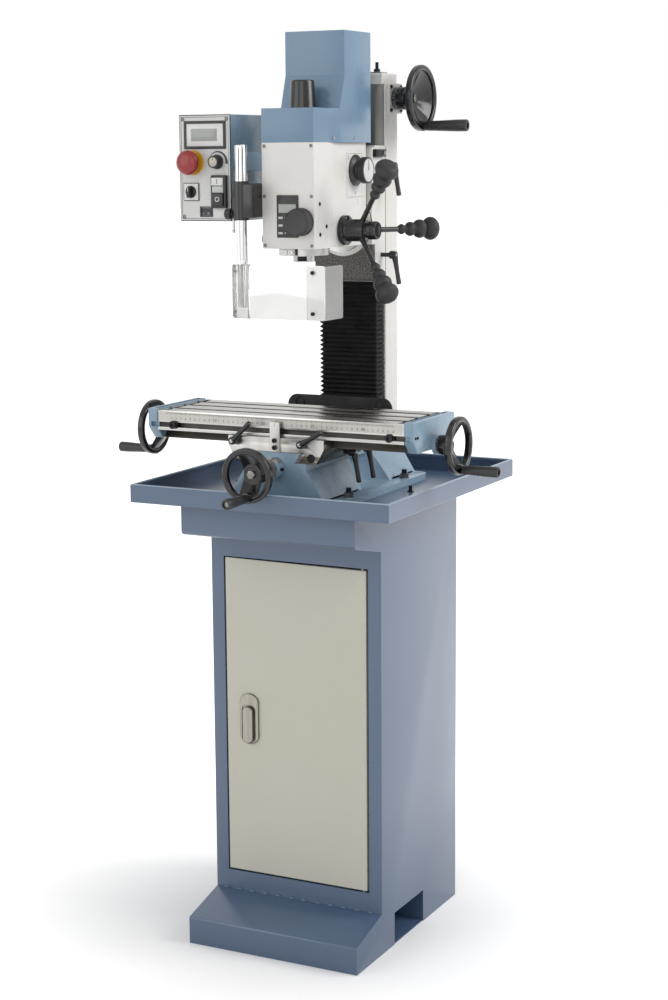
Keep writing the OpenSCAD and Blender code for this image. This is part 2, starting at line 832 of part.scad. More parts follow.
// Rounded rim section of a handwheel, centred on the rim
module rim_section() round_rect(rim_w, rim_t, 4);

// Handwheel about +Z with its rim's middle plane at z = 0: two flat spokes, or a full web
module handwheel(r, hub_l, solid) difference() {
    union() {
        rotate_extrude() translate([r - rim_w / 2, 0]) rim_section();
        intersection() {
            rotate_extrude() polygon([
                [0, -dish - 4], [wheel_hub_r, -dish - 4], [r - rim_w + 1, -5], [r - rim_w + 1, 1],
                [wheel_hub_r, -dish + 2], [0, -dish + 2]
            ]);
            half = solid ? r : spoke_hw;
            block([-half, half], [-r, r], [-dish - 5, rim_t]);
        }
        rod_z(wheel_hub_r, -dish - hub_l, -dish);
        // Seat and shoulder bolt of the revolving handle
        translate([0, -handle_at(r), 0]) rod_z(handle_r, -rim_t / 2 + 1, rim_t / 2);
    }
    rod_z(journal_r, -dish - hub_l - over, 0);
}
function handle_at(r) = r - handle_r;

// Shoulder bolt that a handle turns on
module handle_bolt(r, l) translate([0, -handle_at(r), 0]) {
    rod_z(bolt_r, 0, rim_t / 2 + gap + l - 6);
    rod_z(bolt_head_r, rim_t / 2 + 2 * gap + l - 6, rim_t / 2 + l - 2);
}

// Revolving handle about +Z, slightly waisted, bored for its bolt
module handle(r, hr, l) translate([0, -handle_at(r), rim_t / 2 + gap]) difference() {
    rotate_extrude() polygon([
        [0, 0], [hr * 0.72, 0], [hr * 0.8, 4], [hr * 0.86, l * 0.3],
        [hr, l * 0.75], [hr, l - 2], [hr - 2, l], [0, l]
    ]);
    rod_z(bolt_r + fit, -over, l);
    rod_z(bolt_head_r + 0.5, l - 6, l + over);
}

// Frames of the wheels: local +Z points at the operator's hand, local +Y stays up
module at_x_right() translate([x_wheel_x, table_y, x_axis_z]) rotate([90, 0, 90]) children();
module at_x_left() translate([-x_wheel_x, table_y, x_axis_z]) rotate([90, 0, -90]) children();
module at_y_wheel() translate([0, y_wheel_y, y_axis_z]) rotate([90, 0, 0]) children();
module at_z_wheel() translate([z_wheel_x, z_screw_y, z_axis_z]) rotate([90, 0, 90]) children();

// Graduated dial behind a hub, and the nut on the shaft's end
module dial(r, hub_l, l) rod_z(r, -dish - hub_l - l, -dish - hub_l);
module end_nut() translate([0, 0, -dish + 2]) cylinder(r = 8, h = 7, $fn = 6);

module y_screw() color(steel) translate([0, 0, y_axis_z]) {
    rod_y(screw_r, base_front + base_wall + gap, pedestal_y - base_wall - 4);
    rod_y(journal_r, y_wheel_y + dish - 2, base_front + base_wall + gap);
}

module y_wheel() color(black) at_y_wheel() {
    hub_l = 16;
    handwheel(y_wheel_r, hub_l, false);
    difference() {
        dial(dial_r + 2, hub_l, y_wheel_out - dish - hub_l - y_boss_l - gap);
        rod_z(journal_r, -y_wheel_out, 0);
    }
    end_nut();
    handle_bolt(y_wheel_r, handle_l);
}

module y_handle() color(black) at_y_wheel() handle(y_wheel_r, handle_r, handle_l);

module t_slot(y) {
    block([-table_l, table_l], [y - tslot_w / 2, y + tslot_w / 2],
          [table_top - tslot_neck - over, table_top + over]);
    block([-table_l, table_l], [y - tslot_under / 2, y + tslot_under / 2],
          [table_top - tslot_neck - tslot_head, table_top - tslot_neck]);
}

module table() color(steel) difference() {
    union() {
        block([-table_l / 2, table_l / 2], [table_y - table_w / 2, table_y + table_w / 2],
              [slab_z, table_top]);
        prism_x([[table_y - rail_w / 2, table_way], [table_y + rail_w / 2, table_way],
                 [table_y + rail_top_hw, slab_z + over], [table_y - rail_top_hw, slab_z + over]],
                -table_l / 2, table_l / 2);
    }
    for (i = [-1, 0, 1]) t_slot(table_y + i * tslot_pitch);
    block([-table_l, table_l], [table_y - trough_hw, table_y + trough_hw], [table_way - over, slab_z + 4]);
    block([-table_l, table_l], [table_y - table_w / 2 - over, table_y - table_w / 2 + groove_d],
          [groove_z, groove_z + groove_h]);
    both_sides() block([table_l / 2 - end_trough_w - 4, table_l / 2 - 4],
                       [table_y - table_w / 2 + 6, table_y + table_w / 2 - 6],
                       [table_top - end_trough_d, table_top + over]);
}

module end_brackets() color(blue) both_sides() difference() {
    x0 = table_l / 2;
    f = table_y - table_w / 2 - 2;
    b = table_y + table_w / 2 - 4;
    union() {
        prism_x([[f, table_top + 3], [f, slab_z + 6], [f + 20, table_way], [b - 30, table_way],
                 [b, slab_z + 6], [b, table_top + 3]], x0, x0 + bracket_t);
        translate([0, table_y, x_axis_z]) rod_x(dial_r, x0, x0 + bracket_t + 8);
    }
    translate([0, table_y, x_axis_z]) rod_x(journal_r + fit, x0 - over, x0 + bracket_t + 9);
}

module x_screw() color(steel) translate([0, table_y, x_axis_z]) {
    rod_x(screw_r, -table_l / 2 + gap, table_l / 2 - gap);
    rod_x(journal_r, -x_wheel_x + dish - 2, x_wheel_x - dish + 2);
}

module x_wheel() {
    hub_l = 10;
    handwheel(x_wheel_r, hub_l, false);
    difference() {
        dial(dial_r, hub_l, x_wheel_out - dish - hub_l - bracket_t - 8 - gap);
        rod_z(journal_r, -x_wheel_out, 0);
    }
    end_nut();
    handle_bolt(x_wheel_r, handle_l);
}

module x_wheels() color(black) {
    at_x_right() x_wheel();
    at_x_left() x_wheel();
}

module x_handle_right() color(black) at_x_right() handle(x_wheel_r, handle_r, handle_l);
module x_handle_left() color(black) at_x_left() handle(x_wheel_r, handle_r, handle_l);

module z_saddle() color(white) difference() {
    block([-col_hw, col_hw], [zsad_front, col_front - gap], [zsad_z, zsad_top]);
    column_dovetail(gap, zsad_z - over, zsad_top + over);
    for (z = z_lock_z) translate([0, z_lock_y, z]) rod_x(clamp_r + fit, col_hw - 9, col_hw + over);
}

// Nut on an arm that reaches back into the column's channel
module z_nut() color(bronze) difference() {
    union() {
        translate([0, z_screw_y, 0]) rod_z(z_screw_r + 5, z_nut_z, z_nut_z + z_nut_h);
        block([-11, 11], [col_dt_front - gap, z_screw_y], [z_nut_z, z_nut_z + z_nut_h]);
    }
    translate([0, z_screw_y, 0]) rod_z(z_screw_r + fit, z_nut_z - over, z_nut_z + z_nut_h + over);
}

// Swivel plate with its machined ring and the spigot that the head turns on
module swivel_plate() color(iron) {
    block([-col_hw, col_hw], [plate_front, zsad_front], [zsad_z + 4, zsad_top - 4]);
    translate([0, 0, swivel_z]) {
        rod_y(ring_r, ring_front, plate_front);
        rod_y(spigot_r, ring_front - spigot_l, ring_front);
    }
}

// Mitre gear about +Z with its pitch cone's apex at the origin and its back at z = -mitre_r
module mitre_gear() {
    tip = 0.9;
    root = 1.5;
    tooth_gap = 3.4;
    pitch_line = mitre_r - 4;
    difference() {
        rotate_extrude() polygon([
            [0, -mitre_r - 4], [mitre_r - 2, -mitre_r - 4], [mitre_r + 0.7 * tip, -mitre_r + 0.7 * tip],
            [pitch_line + 0.7 * tip, -pitch_line + 0.7 * tip], [0, -pitch_line + 0.7 * tip]
        ]);
        for (i = [0 : mitre_teeth - 1]) rotate([0, 0, (i + 0.5) * 360 / mitre_teeth]) rotate([0, 45, 0])
            translate([0, 0, -mitre_r * 3]) linear_extrude(mitre_r * 3) polygon([
                [-root, -tooth_gap / 2 + 0.5], [tip + 2, -tooth_gap / 2 - 0.8],
                [tip + 2, tooth_gap / 2 + 0.8], [-root, tooth_gap / 2 - 0.5]
            ]);
    }
}

module z_screw() color(steel) {
    bottom = pedestal_z + foot_h_in;
    translate([0, z_screw_y, 0]) {
        rod_z(z_screw_r, bottom + gap, shelf_z - gap);
        rod_z(journal_r, bottom - 14, z_axis_z - mitre_r - 3);
        translate([0, 0, z_axis_z]) mitre_gear();
    }
}

module z_shaft() color(steel) translate([0, z_screw_y, z_axis_z]) {
    rotate([0, -90, 0]) rotate([0, 0, 180 / mitre_teeth]) mitre_gear();
    rod_x(journal_r, mitre_r + 3, z_wheel_x - dish + 2);
}

module z_wheel() color(black) at_z_wheel() {
    hub_l = 12;
    handwheel(z_wheel_r, hub_l, true);
    difference() {
        dial(z_dial_r, hub_l, z_wheel_out - dish - hub_l - flange_t - gap);
        rod_z(journal_r, -z_wheel_out, 0);
    }
    end_nut();
    handle_bolt(z_wheel_r, z_handle_l);
}

module z_handle() color(black) at_z_wheel() handle(z_wheel_r, z_handle_r, z_handle_l);

module head_casting() color(white) difference() {
    union() {
        difference() {
            block([-head_hw, head_hw], [head_front, head_rear], [head_z, head_top]);
            difference() {
                block([-head_hw + head_wall, head_hw - head_wall],
                      [head_front + head_wall, head_rear - head_wall],
                      [head_z + head_wall, head_top - deck_t]);
                rod_z(sleeve_r, head_z, quill_top);
            }
        }
        rod_z(clamp_ring_r, quill_bottom, head_z + over);
        translate([0, 0, swivel_z]) rod_y(ring_r - 8, head_rear - head_wall, ring_front);
        translate([0, capstan_y, capstan_z]) rod_x(18, -head_hw, -head_hw + 2 * head_wall);
        translate([0, capstan_y, capstan_z]) rod_x(18, head_hw - 2 * head_wall, head_hw);
    }
    rod_z(quill_r + fit, quill_bottom - over, quill_top + over);
    // Slot for the quill's rack
    block([-6.5, 6.5], [0, rack_y + rack_m + 1], [quill_bottom - over, quill_top + over]);
    block([-6.5, 6.5], [rack_y - 2, sleeve_r + 1], [capstan_z - pinion_r - 3, capstan_z + pinion_r + 3]);
    // Slit of the clamp ring
    block([-clamp_ring_r - over, -quill_r], [-1, 1], [quill_bottom - over, head_z - 2]);
    translate([0, capstan_y, capstan_z]) rod_x(shaft_r + fit, -head_hw + 3, head_hw + over);
    rod_z(hub_r + fit, head_top - deck_t - over, head_top + over);
    translate([0, motor_y, 0]) rod_z(22, head_top - deck_t - over, head_top + over);
    translate([0, 0, swivel_z]) rod_y(spigot_r + fit, ring_front - spigot_l - 1, ring_front + over);
    selector_hole();
    knob_hole();
}

// Plan of the cover's low part, drawn in by t: narrow in front, as wide as the tower behind
function cover_plan(t) = [
    [-head_hw + t, head_front + t], [head_hw - t, head_front + t], [head_hw - t, 0],
    [tower_hw - t, 30], [tower_hw - t, head_rear + 5 - t], [-tower_hw + t, head_rear + 5 - t],
    [-tower_hw + t, 30], [-head_hw + t, 0]
];
function tower_side(t) = [
    [28 + t, cover_front_top - 2 * t], [tower_front + t, cover_front_top + 60],
    [tower_front + t, cover_top - t], [head_rear + 5 - t, cover_top - t],
    [head_rear + 5 - t, cover_front_top - 2 * t]
];

module head_cover() color("#7d9bb9") difference() {
    union() {
        translate([0, 0, head_top]) linear_extrude(cover_step) polygon(cover_plan(0));
        prism_x(tower_side(0), -tower_hw, tower_hw);
    }
    translate([0, 0, head_top - over])
        linear_extrude(cover_step + over - cover_t) polygon(cover_plan(cover_t));
    prism_x(tower_side(cover_t), -tower_hw + cover_t, tower_hw - cover_t);
    rod_z(19, cover_front_top - 2 * cover_t, cover_front_top + over);
}

module drawbar_cap() color(black) difference() {
    union() {
        translate([0, 0, cover_front_top]) cylinder(r1 = 24, r2 = 20.5, h = bar_cap_h);
        rod_z(19 - flat, cover_front_top - cover_t, cover_front_top + over);
    }
    rod_z(16, cover_front_top - cover_t - over, cover_front_top + bar_cap_h - cover_t);
}

module motor() color(iron) translate([0, motor_y, 0]) difference() {
    union() {
        rod_z(motor_r, head_top, head_top + motor_h);
        rod_z(22 - flat, head_top - deck_t, head_top);
    }
    rod_z(journal_r + fit, head_top - deck_t - over, head_top + 50);
}

// Shaft and pulley of the motor
module motor_pulley() color(steel) translate([0, motor_y, 0]) {
    rod_z(journal_r, pulley_z, head_top + 49);
    rod_z(motor_pulley_r, pulley_z, pulley_z + pulley_h);
}

// Flat loop of the belt round both pulleys, with r added to each pulley's radius
module belt_loop(r) {
    d = motor_y;
    lean = asin((drive_r - motor_pulley_r) / d);
    big = drive_r + r;
    small = motor_pulley_r + r;
    circle(big);
    translate([0, d]) circle(small);
    polygon([
        [big * cos(lean), big * sin(lean)], [small * cos(lean), d + small * sin(lean)],
        [-small * cos(lean), d + small * sin(lean)], [-big * cos(lean), big * sin(lean)]
    ]);
}

module drive_belt() color(black) translate([0, 0, pulley_z + 2]) linear_extrude(pulley_h - 4) difference() {
    belt_loop(gap + belt_t);
    belt_loop(gap);
}

// Splined sleeve that turns in the deck and carries the driven pulley
module drive_pulley() color(steel) difference() {
    union() {
        rod_z(hub_r, sleeve_bottom, head_top + 8);
        rod_z(drive_r, pulley_z, pulley_z + pulley_h);
        rod_z(hub_r + 4, head_top, head_top + 8);
    }
    rod_z(spline_r + fit, sleeve_bottom - over, head_top + 9);
    block([-spline_w / 2 - gap, spline_w / 2 + gap], [-spline_r - 2.5, spline_r + 2.5],
          [sleeve_bottom - over, head_top + 9]);
}

module quill() color(steel) difference() {
    union() {
        rod_z(quill_r, quill_bottom, quill_top);
        difference() {
            block([-6, 6], [quill_r - 4, rack_y + rack_m * 0.8], [quill_bottom + 4, quill_top]);
            for (i = [-rack_below : rack_above]) rack_gap(capstan_z + i * rack_pitch);
        }
    }
    rod_z(spindle_r + fit, quill_bottom - over, quill_top + over);
}

// Gap between two teeth of the rack
module rack_gap(z) if (z > quill_bottom + 2 && z < quill_top) prism_x([
    [rack_y - rack_m * 1.2, z - rack_pitch * 0.13], [rack_y + rack_m + 1, z - rack_pitch * 0.42],
    [rack_y + rack_m + 1, z + rack_pitch * 0.42], [rack_y - rack_m * 1.2, z + rack_pitch * 0.13]
], -7, 7);

module spindle() color(steel) difference() {
    union() {
        rod_z(nose_r, quill_bottom - nose_l, quill_bottom - gap);
        rod_z(spindle_r, quill_bottom - over, quill_top + 2);
        rod_z(spline_r, quill_top, spindle_top);
        block([-spline_w / 2, spline_w / 2], [-spline_r - 2, spline_r + 2], [quill_top + 2, spindle_top]);
    }
    translate([0, 0, quill_bottom - nose_l - over])
        cylinder(r1 = taper_r + taper_slope, r2 = taper_r - taper_slope * taper_l, h = taper_l + over);
    rod_z(bar_r, quill_bottom, spindle_top + over);
}

// Straight-flanked tooth outline of a spur gear about the origin
module spur_teeth(m, n) {
    r = m * n / 2;
    step = 360 / n;
    circle(r - 1.2 * m);
    for (i = [0 : n - 1]) rotate(i * step) polygon([
        [-0.62 * m, r - 1.4 * m], [-0.62 * m, r - m], [-0.66 * m, r], [-0.3 * m, r + 0.9 * m],
        [0.3 * m, r + 0.9 * m], [0.66 * m, r], [0.62 * m, r - m], [0.62 * m, r - 1.4 * m]
    ]);
}

// Ribbed grip on a spoke: four bulbs that grow towards the end, about +Z
module ribbed_grip(l) rotate_extrude() intersection() {
    union() {
        for (i = [0 : 3]) translate([0, (0.14 + 0.24 * i) * l]) scale([1, 0.95])
            circle(bulb_r + bulb_step * i);
        square([bulb_r - 1.5, l]);
    }
    square([l, l + 6]);
}

// Pilot wheel: pinion, shaft, hub and three leaning spokes with ribbed grips
module capstan() color(black) translate([0, capstan_y, capstan_z]) {
    hub_x = head_hw + 38;
    grip_l = 62;
    spoke_l = (spoke_r - 12) / cos(spoke_lean);
    rotate([90, 0, 90]) translate([0, 0, -6]) linear_extrude(12)
        rotate(90) spur_teeth(rack_m, pinion_teeth);
    rod_x(shaft_r, -head_hw + 4, head_hw + gap);
    rod_x(capstan_flange_r, head_hw + gap, head_hw + 10);
    rod_x(20, head_hw + 9, head_hw + 46);
    rod_x(15, head_hw + 45, head_hw + capstan_out);
    for (i = [0 : 2]) rotate([i * 120, 0, 0]) translate([hub_x, 12, 0]) rotate([0, 0, -spoke_lean]) {
        rod_y(4.5, 0, spoke_l - 6);
        translate([0, spoke_l - grip_l - 6, 0]) rotate([-90, 0, 0]) ribbed_grip(grip_l);
    }
}

module selector_hole() translate([0, selector_y, selector_z])
    rod_x(selector_shaft_r + fit, head_hw - head_wall - over, head_hw + over);
module knob_hole() translate([fine_x, 0, fine_z])
    rod_y(fine_shaft_r + fit, head_front - over, head_front + head_wall + over);

// Two-speed selector drum
module gear_selector() color(black) translate([0, selector_y, selector_z]) {
    rod_x(selector_shaft_r, head_hw - head_wall, head_hw + over);
    rod_x(28.5, head_hw + gap, head_hw + 7);
    rod_x(24, head_hw + 6, head_hw + 28);
}

module fine_feed_knob() color(black) translate([fine_x, 0, fine_z]) {
    rod_y(fine_shaft_r, head_front - over, head_front + head_wall);
    rod_y(25, head_front - 22, head_front - gap);
}

module on_panel(at) translate([at[0], panel_y, at[1]]) children();

module control_box() color(blue) difference() {
    union() {
        difference() {
            block([ctrl_left, ctrl_right], [panel_y, panel_y + ctrl_d], [ctrl_z, ctrl_z + ctrl_h]);
            block([ctrl_left + box_wall, ctrl_right - box_wall],
                  [panel_y + box_wall, panel_y + ctrl_d - box_wall],
                  [ctrl_z + box_wall, ctrl_z + ctrl_h - box_wall]);
        }
        block([ctrl_right - box_wall, -head_hw], [panel_y + 52, panel_y + 76],
              [head_top - 49, head_top - 16]);
        on_panel(estop_at) rod_y(22, -2, over);
        on_panel(push_at) block([-push_hw - 3, push_hw + 3], [-10, over], [-29, 29]);
    }
    on_panel(estop_at) rod_y(8 + gap, -3, box_wall + over);
    on_panel(speed_at) rod_y(4 + fit, -3, box_wall + over);
    on_panel(mode_at) rod_y(4 + fit, -3, box_wall + over);
    on_panel(push_at) block([-push_hw - flat, push_hw + flat], [-11, box_wall + over],
                            [start_dz[0] - flat, start_dz[1] + flat]);
    on_panel(push_at) block([-push_hw - flat, push_hw + flat], [-11, box_wall + over],
                            [stop_dz[0] - flat, stop_dz[1] + flat]);
    on_panel(rocker_at) block([-rocker_hw - flat, rocker_hw + flat], [-over, box_wall + over], [-8, 8]);
}

// Mushroom-head emergency stop
module estop_button() color("#b3231f") on_panel(estop_at) {
    rod_y(8, -20, button_stem);
    translate([0, -20, 0]) rotate([90, 0, 0]) rotate_extrude() polygon([
        [0, 0], [20, 0], [20, 5], [17, 9], [11, 11], [0, 12]
    ]);
}

module speed_knob() color(black) on_panel(speed_at) {
    rod_y(4, -over, button_stem);
    rod_y(13, -18, -gap);
}

module mode_switch() color(black) on_panel(mode_at) {
    rod_y(4, -over, button_stem);
    rod_y(11, -6, -gap);
    block([-3.5, 3.5], [-16, -5], [-11, 11]);
}

module push_button(dz) {
    block([-push_hw, push_hw], [-16, button_stem], [dz[0], dz[1]]);
}

module start_button() color("#2f3033") on_panel(push_at) push_button(start_dz);
module stop_button() color("#d9d9d6") on_panel(push_at) push_button(stop_dz);

// Rocker that tips about its middle
module power_rocker() color(black) on_panel(rocker_at)
    prism_x([[6, 5.5], [-0.5, 6.5], [-1.2, 0], [-3.6, -6.5], [6, -5.5]], -rocker_hw, rocker_hw);

module guard_bracket() color(black) difference() {
    union() {
        block([post_x - 17, -head_hw], [post_y - 15, head_front + 22], clamp_arm);
        translate([0, post_y, head_z + 62]) rod_x(9, post_x - 32, post_x - 16);
    }
    translate([post_x, post_y, 0]) rod_z(post_r + fit, clamp_arm[0] - over, clamp_arm[1] + over);
}

module guard_post() color(steel) translate([post_x, post_y, 0]) {
    rod_z(post_r, guard_top + over, post_top);
    rod_z(neck_r, collar_z - 3, guard_top + 2 * over);
}

// Clear guard: clamp block round the post, front pane, and the pane turned back at its right end
module guard_pane() color("#dfe8ea") {
    difference() {
        translate([post_x, post_y, 0]) rod_z(collar_r, collar_z, guard_top);
        translate([post_x, post_y, 0]) rod_z(neck_r + fit, guard_z, guard_top + over);
    }
    pane_front = post_y - collar_r - 1;
    block([post_x - collar_r, guard_right], [pane_front, pane_front + pane_t], [guard_z, guard_top]);
    block([guard_right - pane_t, guard_right], [pane_front, pane_front + side_pane], [guard_z, guard_top]);
}

// Clamp lever about +Z: threaded stem into the piece it locks, hub and arm leaning outwards
module clamp_lever(angle, stem) {
    rod_z(clamp_r, -stem, 3);
    rod_z(7, gap, 14);
    rotate([0, 0, angle]) translate([0, 0, 9]) rotate([0, 80, 0]) cylinder(r1 = 5.5, r2 = 4, h = lever_l);
}

module x_lock(x, angle) color(black)
    translate([x, saddle_front, x_axis_z]) rotate([90, 0, 0]) clamp_lever(angle, 14);
module x_lock_left() x_lock(x_lock_x[0], 41);
module x_lock_right() x_lock(x_lock_x[1], 29);

// Levers on the right flank hang down
module side_lock(x, y, z, stem) color(black)
    translate([x, y, z]) rotate([90, 0, 90]) clamp_lever(-90, stem);
module y_lock_front() side_lock(y_lock_x, y_lock_y[0], y_lock_z, y_lock_stem);
module y_lock_rear() side_lock(y_lock_x, y_lock_y[1], y_lock_z, y_lock_stem);
module z_lock_lower() side_lock(z_lock_x, z_lock_y, z_lock_z[0], z_lock_stem);
module z_lock_upper() side_lock(z_lock_x, z_lock_y, z_lock_z[1], z_lock_stem);

stand();
chip_tray();
base();
base_studs();
column();
column_cap();
z_bearing();
way_cover();
bellows();
door();
lock_plate();
lock_lever();
saddle();
feed_nuts();
saddle_gibs();
stop_bracket();
y_screw();
y_wheel();
y_handle();
table();
end_brackets();
x_screw();
x_wheels();
x_handle_left();
x_handle_right();
z_saddle();
z_nut();
swivel_plate();
z_screw();
z_shaft();
z_wheel();
z_handle();
head_casting();
head_cover();
drawbar_cap();
motor();
motor_pulley();
drive_belt();
drive_pulley();
quill();
spindle();
capstan();
gear_selector();
fine_feed_knob();
control_box();
estop_button();
speed_knob();
mode_switch();
start_button();
stop_button();
power_rocker();
guard_bracket();
guard_post();
guard_pane();
x_lock_left();
x_lock_right();
y_lock_front();
y_lock_rear();
z_lock_upper();
z_lock_lower();
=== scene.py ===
"""Looks of a bench mill drill on a cabinet stand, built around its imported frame.

The frame's nodes carry the sizes and the joints.  Each class below is one
sub-assembly of the machine: its fields are sizes in millimetres, and its methods
shape the meshes, dress them and set each one riding on its body.
"""

from __future__ import annotations

import json
import logging
import math
from collections.abc import Callable, Iterator, Sequence
from contextlib import contextmanager
from dataclasses import dataclass
from enum import Enum

import bmesh
import bpy
from mathutils import Matrix, Vector

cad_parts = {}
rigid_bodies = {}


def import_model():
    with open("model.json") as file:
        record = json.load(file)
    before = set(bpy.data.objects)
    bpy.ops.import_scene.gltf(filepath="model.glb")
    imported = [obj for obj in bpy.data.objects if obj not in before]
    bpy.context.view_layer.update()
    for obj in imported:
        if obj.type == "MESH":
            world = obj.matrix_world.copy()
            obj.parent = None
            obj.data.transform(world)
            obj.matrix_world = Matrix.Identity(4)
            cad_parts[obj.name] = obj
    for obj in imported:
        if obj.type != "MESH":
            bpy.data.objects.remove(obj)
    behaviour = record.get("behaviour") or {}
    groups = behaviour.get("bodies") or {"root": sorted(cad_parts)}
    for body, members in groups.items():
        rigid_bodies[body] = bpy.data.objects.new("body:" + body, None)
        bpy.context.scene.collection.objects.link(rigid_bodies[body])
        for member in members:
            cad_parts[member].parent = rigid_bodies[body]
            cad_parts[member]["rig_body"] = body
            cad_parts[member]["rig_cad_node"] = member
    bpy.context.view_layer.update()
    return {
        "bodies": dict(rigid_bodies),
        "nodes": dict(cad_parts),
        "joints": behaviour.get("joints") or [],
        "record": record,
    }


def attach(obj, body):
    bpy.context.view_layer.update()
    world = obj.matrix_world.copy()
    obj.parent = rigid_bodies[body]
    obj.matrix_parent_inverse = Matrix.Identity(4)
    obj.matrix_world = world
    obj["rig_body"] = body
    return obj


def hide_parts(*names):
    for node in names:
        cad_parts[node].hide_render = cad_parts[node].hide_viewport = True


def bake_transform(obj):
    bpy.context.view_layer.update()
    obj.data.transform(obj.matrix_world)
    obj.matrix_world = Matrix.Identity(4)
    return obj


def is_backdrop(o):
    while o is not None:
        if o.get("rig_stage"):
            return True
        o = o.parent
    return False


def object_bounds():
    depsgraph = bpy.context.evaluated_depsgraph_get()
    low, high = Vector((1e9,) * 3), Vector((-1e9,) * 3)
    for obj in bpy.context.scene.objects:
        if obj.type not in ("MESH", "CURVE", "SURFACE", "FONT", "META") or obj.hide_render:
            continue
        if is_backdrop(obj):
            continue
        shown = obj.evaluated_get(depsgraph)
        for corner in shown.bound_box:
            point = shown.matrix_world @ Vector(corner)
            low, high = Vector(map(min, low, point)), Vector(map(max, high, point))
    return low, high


LOG = logging.getLogger("mill_drill")
MM = 0.001
WELD = 2e-6
FLAT = math.radians(0.4)
RIGHT, LEFT, FORWARD, UP = (1, 0, 0), (-1, 0, 0), (0, -1, 0), (0, 0, 1)

Point = Sequence[float]
Profile = Sequence[tuple[float, float]]
Obj = bpy.types.Object
Test = Callable[[Vector, Vector], bool]


# ---------------------------------------------------------------- modelling tools


class Pick(Enum):
    """What an edit-mode selection is made of."""

    VERTS = "VERT"
    EDGES = "EDGE"
    FACES = "FACE"


def metres(point: Point) -> Vector:
    """A point or step given in millimetres, in metres."""
    return Vector(point) * MM


def named(piece: Obj, name: str) -> Obj:
    """Names an object and its mesh."""
    piece.name = piece.data.name = name
    return piece


def select_only(piece: Obj) -> None:
    """Deselects everything, then selects one object and makes it active.

    Args:
        piece: The object to select.
    """
    bpy.ops.object.select_all(action="DESELECT")
    piece.select_set(True)
    bpy.context.view_layer.objects.active = piece


@contextmanager
def editing(piece: Obj, kind: Pick = Pick.FACES) -> Iterator[None]:
    """Opens a piece in edit mode with all of it selected, and closes it again.

    Args:
        piece: The mesh to edit.
        kind: The select mode to work in.

    Yields:
        Nothing; the piece is open in edit mode until the block ends.
    """
    select_only(piece)
    bpy.ops.object.mode_set(mode="EDIT")
    bpy.ops.mesh.select_mode(type=kind.value)
    bpy.ops.mesh.select_all(action="SELECT")
    yield
    bpy.ops.object.mode_set(mode="OBJECT")


def pick(piece: Obj, kind: Pick, test: Test) -> int:
    """Selects, in edit mode, only what passes a test of its place in millimetres.

    Args:
        piece: The mesh being edited.
        kind: Edges or faces.
        test: Called with an edge's two ends, or a face's middle and normal.

    Returns:
        How many were selected.
    """
    bpy.ops.mesh.select_all(action="DESELECT")
    mesh = bmesh.from_edit_mesh(piece.data)
    found = 0
    for part in mesh.edges if kind is Pick.EDGES else mesh.faces:
        if kind is Pick.EDGES:
            part.select = test(part.verts[0].co / MM, part.verts[1].co / MM)
        else:
            part.select = test(part.calc_center_median() / MM, part.normal)
        found += part.select
    mesh.select_flush_mode()
    bmesh.update_edit_mesh(piece.data)
    return found


def placed(name: str) -> Obj:
    """Names the newly added object and puts its place into its mesh."""
    bpy.ops.object.transform_apply(location=True, rotation=True, scale=True)
    return named(bpy.context.active_object, name)


def block(name: str, low: Point, high: Point) -> Obj:
    """A box between two corners, ready to be shaped.

    Args:
        name: Name of the object.
        low: The corner with the smaller coordinates.
        high: The corner with the larger coordinates.

    Returns:
        The box.
    """
    low_v, high_v = Vector(low), Vector(high)
    bpy.ops.object.select_all(action="DESELECT")
    bpy.ops.mesh.primitive_cube_add(size=1, location=metres((low_v + high_v) / 2))
    bpy.context.active_object.scale = metres(high_v - low_v)
    return placed(name)


def turned_to(axis: Point) -> Matrix:
    """The rotation that takes +Z to an axis."""
    return Vector(axis).to_track_quat("Z", "Y").to_matrix().to_4x4()


def rod(name: str, start: Point, end: Point, radius: float, sides: int = 40) -> Obj:
    """A round bar between two points, ready to be shaped.

    Args:
        name: Name of the object.
        start: Middle of one end.
        end: Middle of the other end.
        radius: Radius of the bar.
        sides: Number of flat sides that make it round.

    Returns:
        The bar.
    """
    start_v, end_v = Vector(start), Vector(end)
    bpy.ops.object.select_all(action="DESELECT")
    bpy.ops.mesh.primitive_cylinder_add(
        vertices=sides, radius=radius * MM, depth=(end_v - start_v).length * MM,
        location=metres((start_v + end_v) / 2), rotation=turned_to(end_v - start_v).to_euler(),
    )
    return placed(name)


def drawn(name: str, points: Sequence[Point]) -> Obj:
    """A line drawn through points by extruding one vertex from each to the next.

    Args:
        name: Name of the object.
        points: The points in order.

    Returns:
        The line.
    """
    bpy.ops.object.select_all(action="DESELECT")
    bpy.ops.mesh.primitive_plane_add(size=MM, location=metres(points[0]))
    line = placed(name)
    with editing(line, Pick.VERTS):
        bpy.ops.mesh.merge(type="CENTER")
        for here, there in zip(points, points[1:]):
            step = metres(Vector(there) - Vector(here))
            bpy.ops.mesh.extrude_region_move(TRANSFORM_OT_translate={"value": step})
    return line


def outward(piece: Obj) -> Obj:
    """Merges doubled vertices and turns every face outwards.

    Args:
        piece: The mesh to clean.

    Returns:
        The same object.
    """
    with editing(piece):
        bpy.ops.mesh.remove_doubles(threshold=WELD)
        bpy.ops.mesh.normals_make_consistent(inside=False)
    return piece


def prism(name: str, outline: Sequence[Point], push: Point) -> Obj:
    """A closed outline filled and pushed along a step.

    Args:
        name: The piece's name.
        outline: Its corners in order.
        push: How far and which way the outline is extruded.

    Returns:
        The solid.
    """
    piece = drawn(name, outline)
    with editing(piece, Pick.VERTS):
        bpy.ops.mesh.edge_face_add()
        bpy.ops.mesh.extrude_region_move(TRANSFORM_OT_translate={"value": metres(push)})
    return outward(piece)


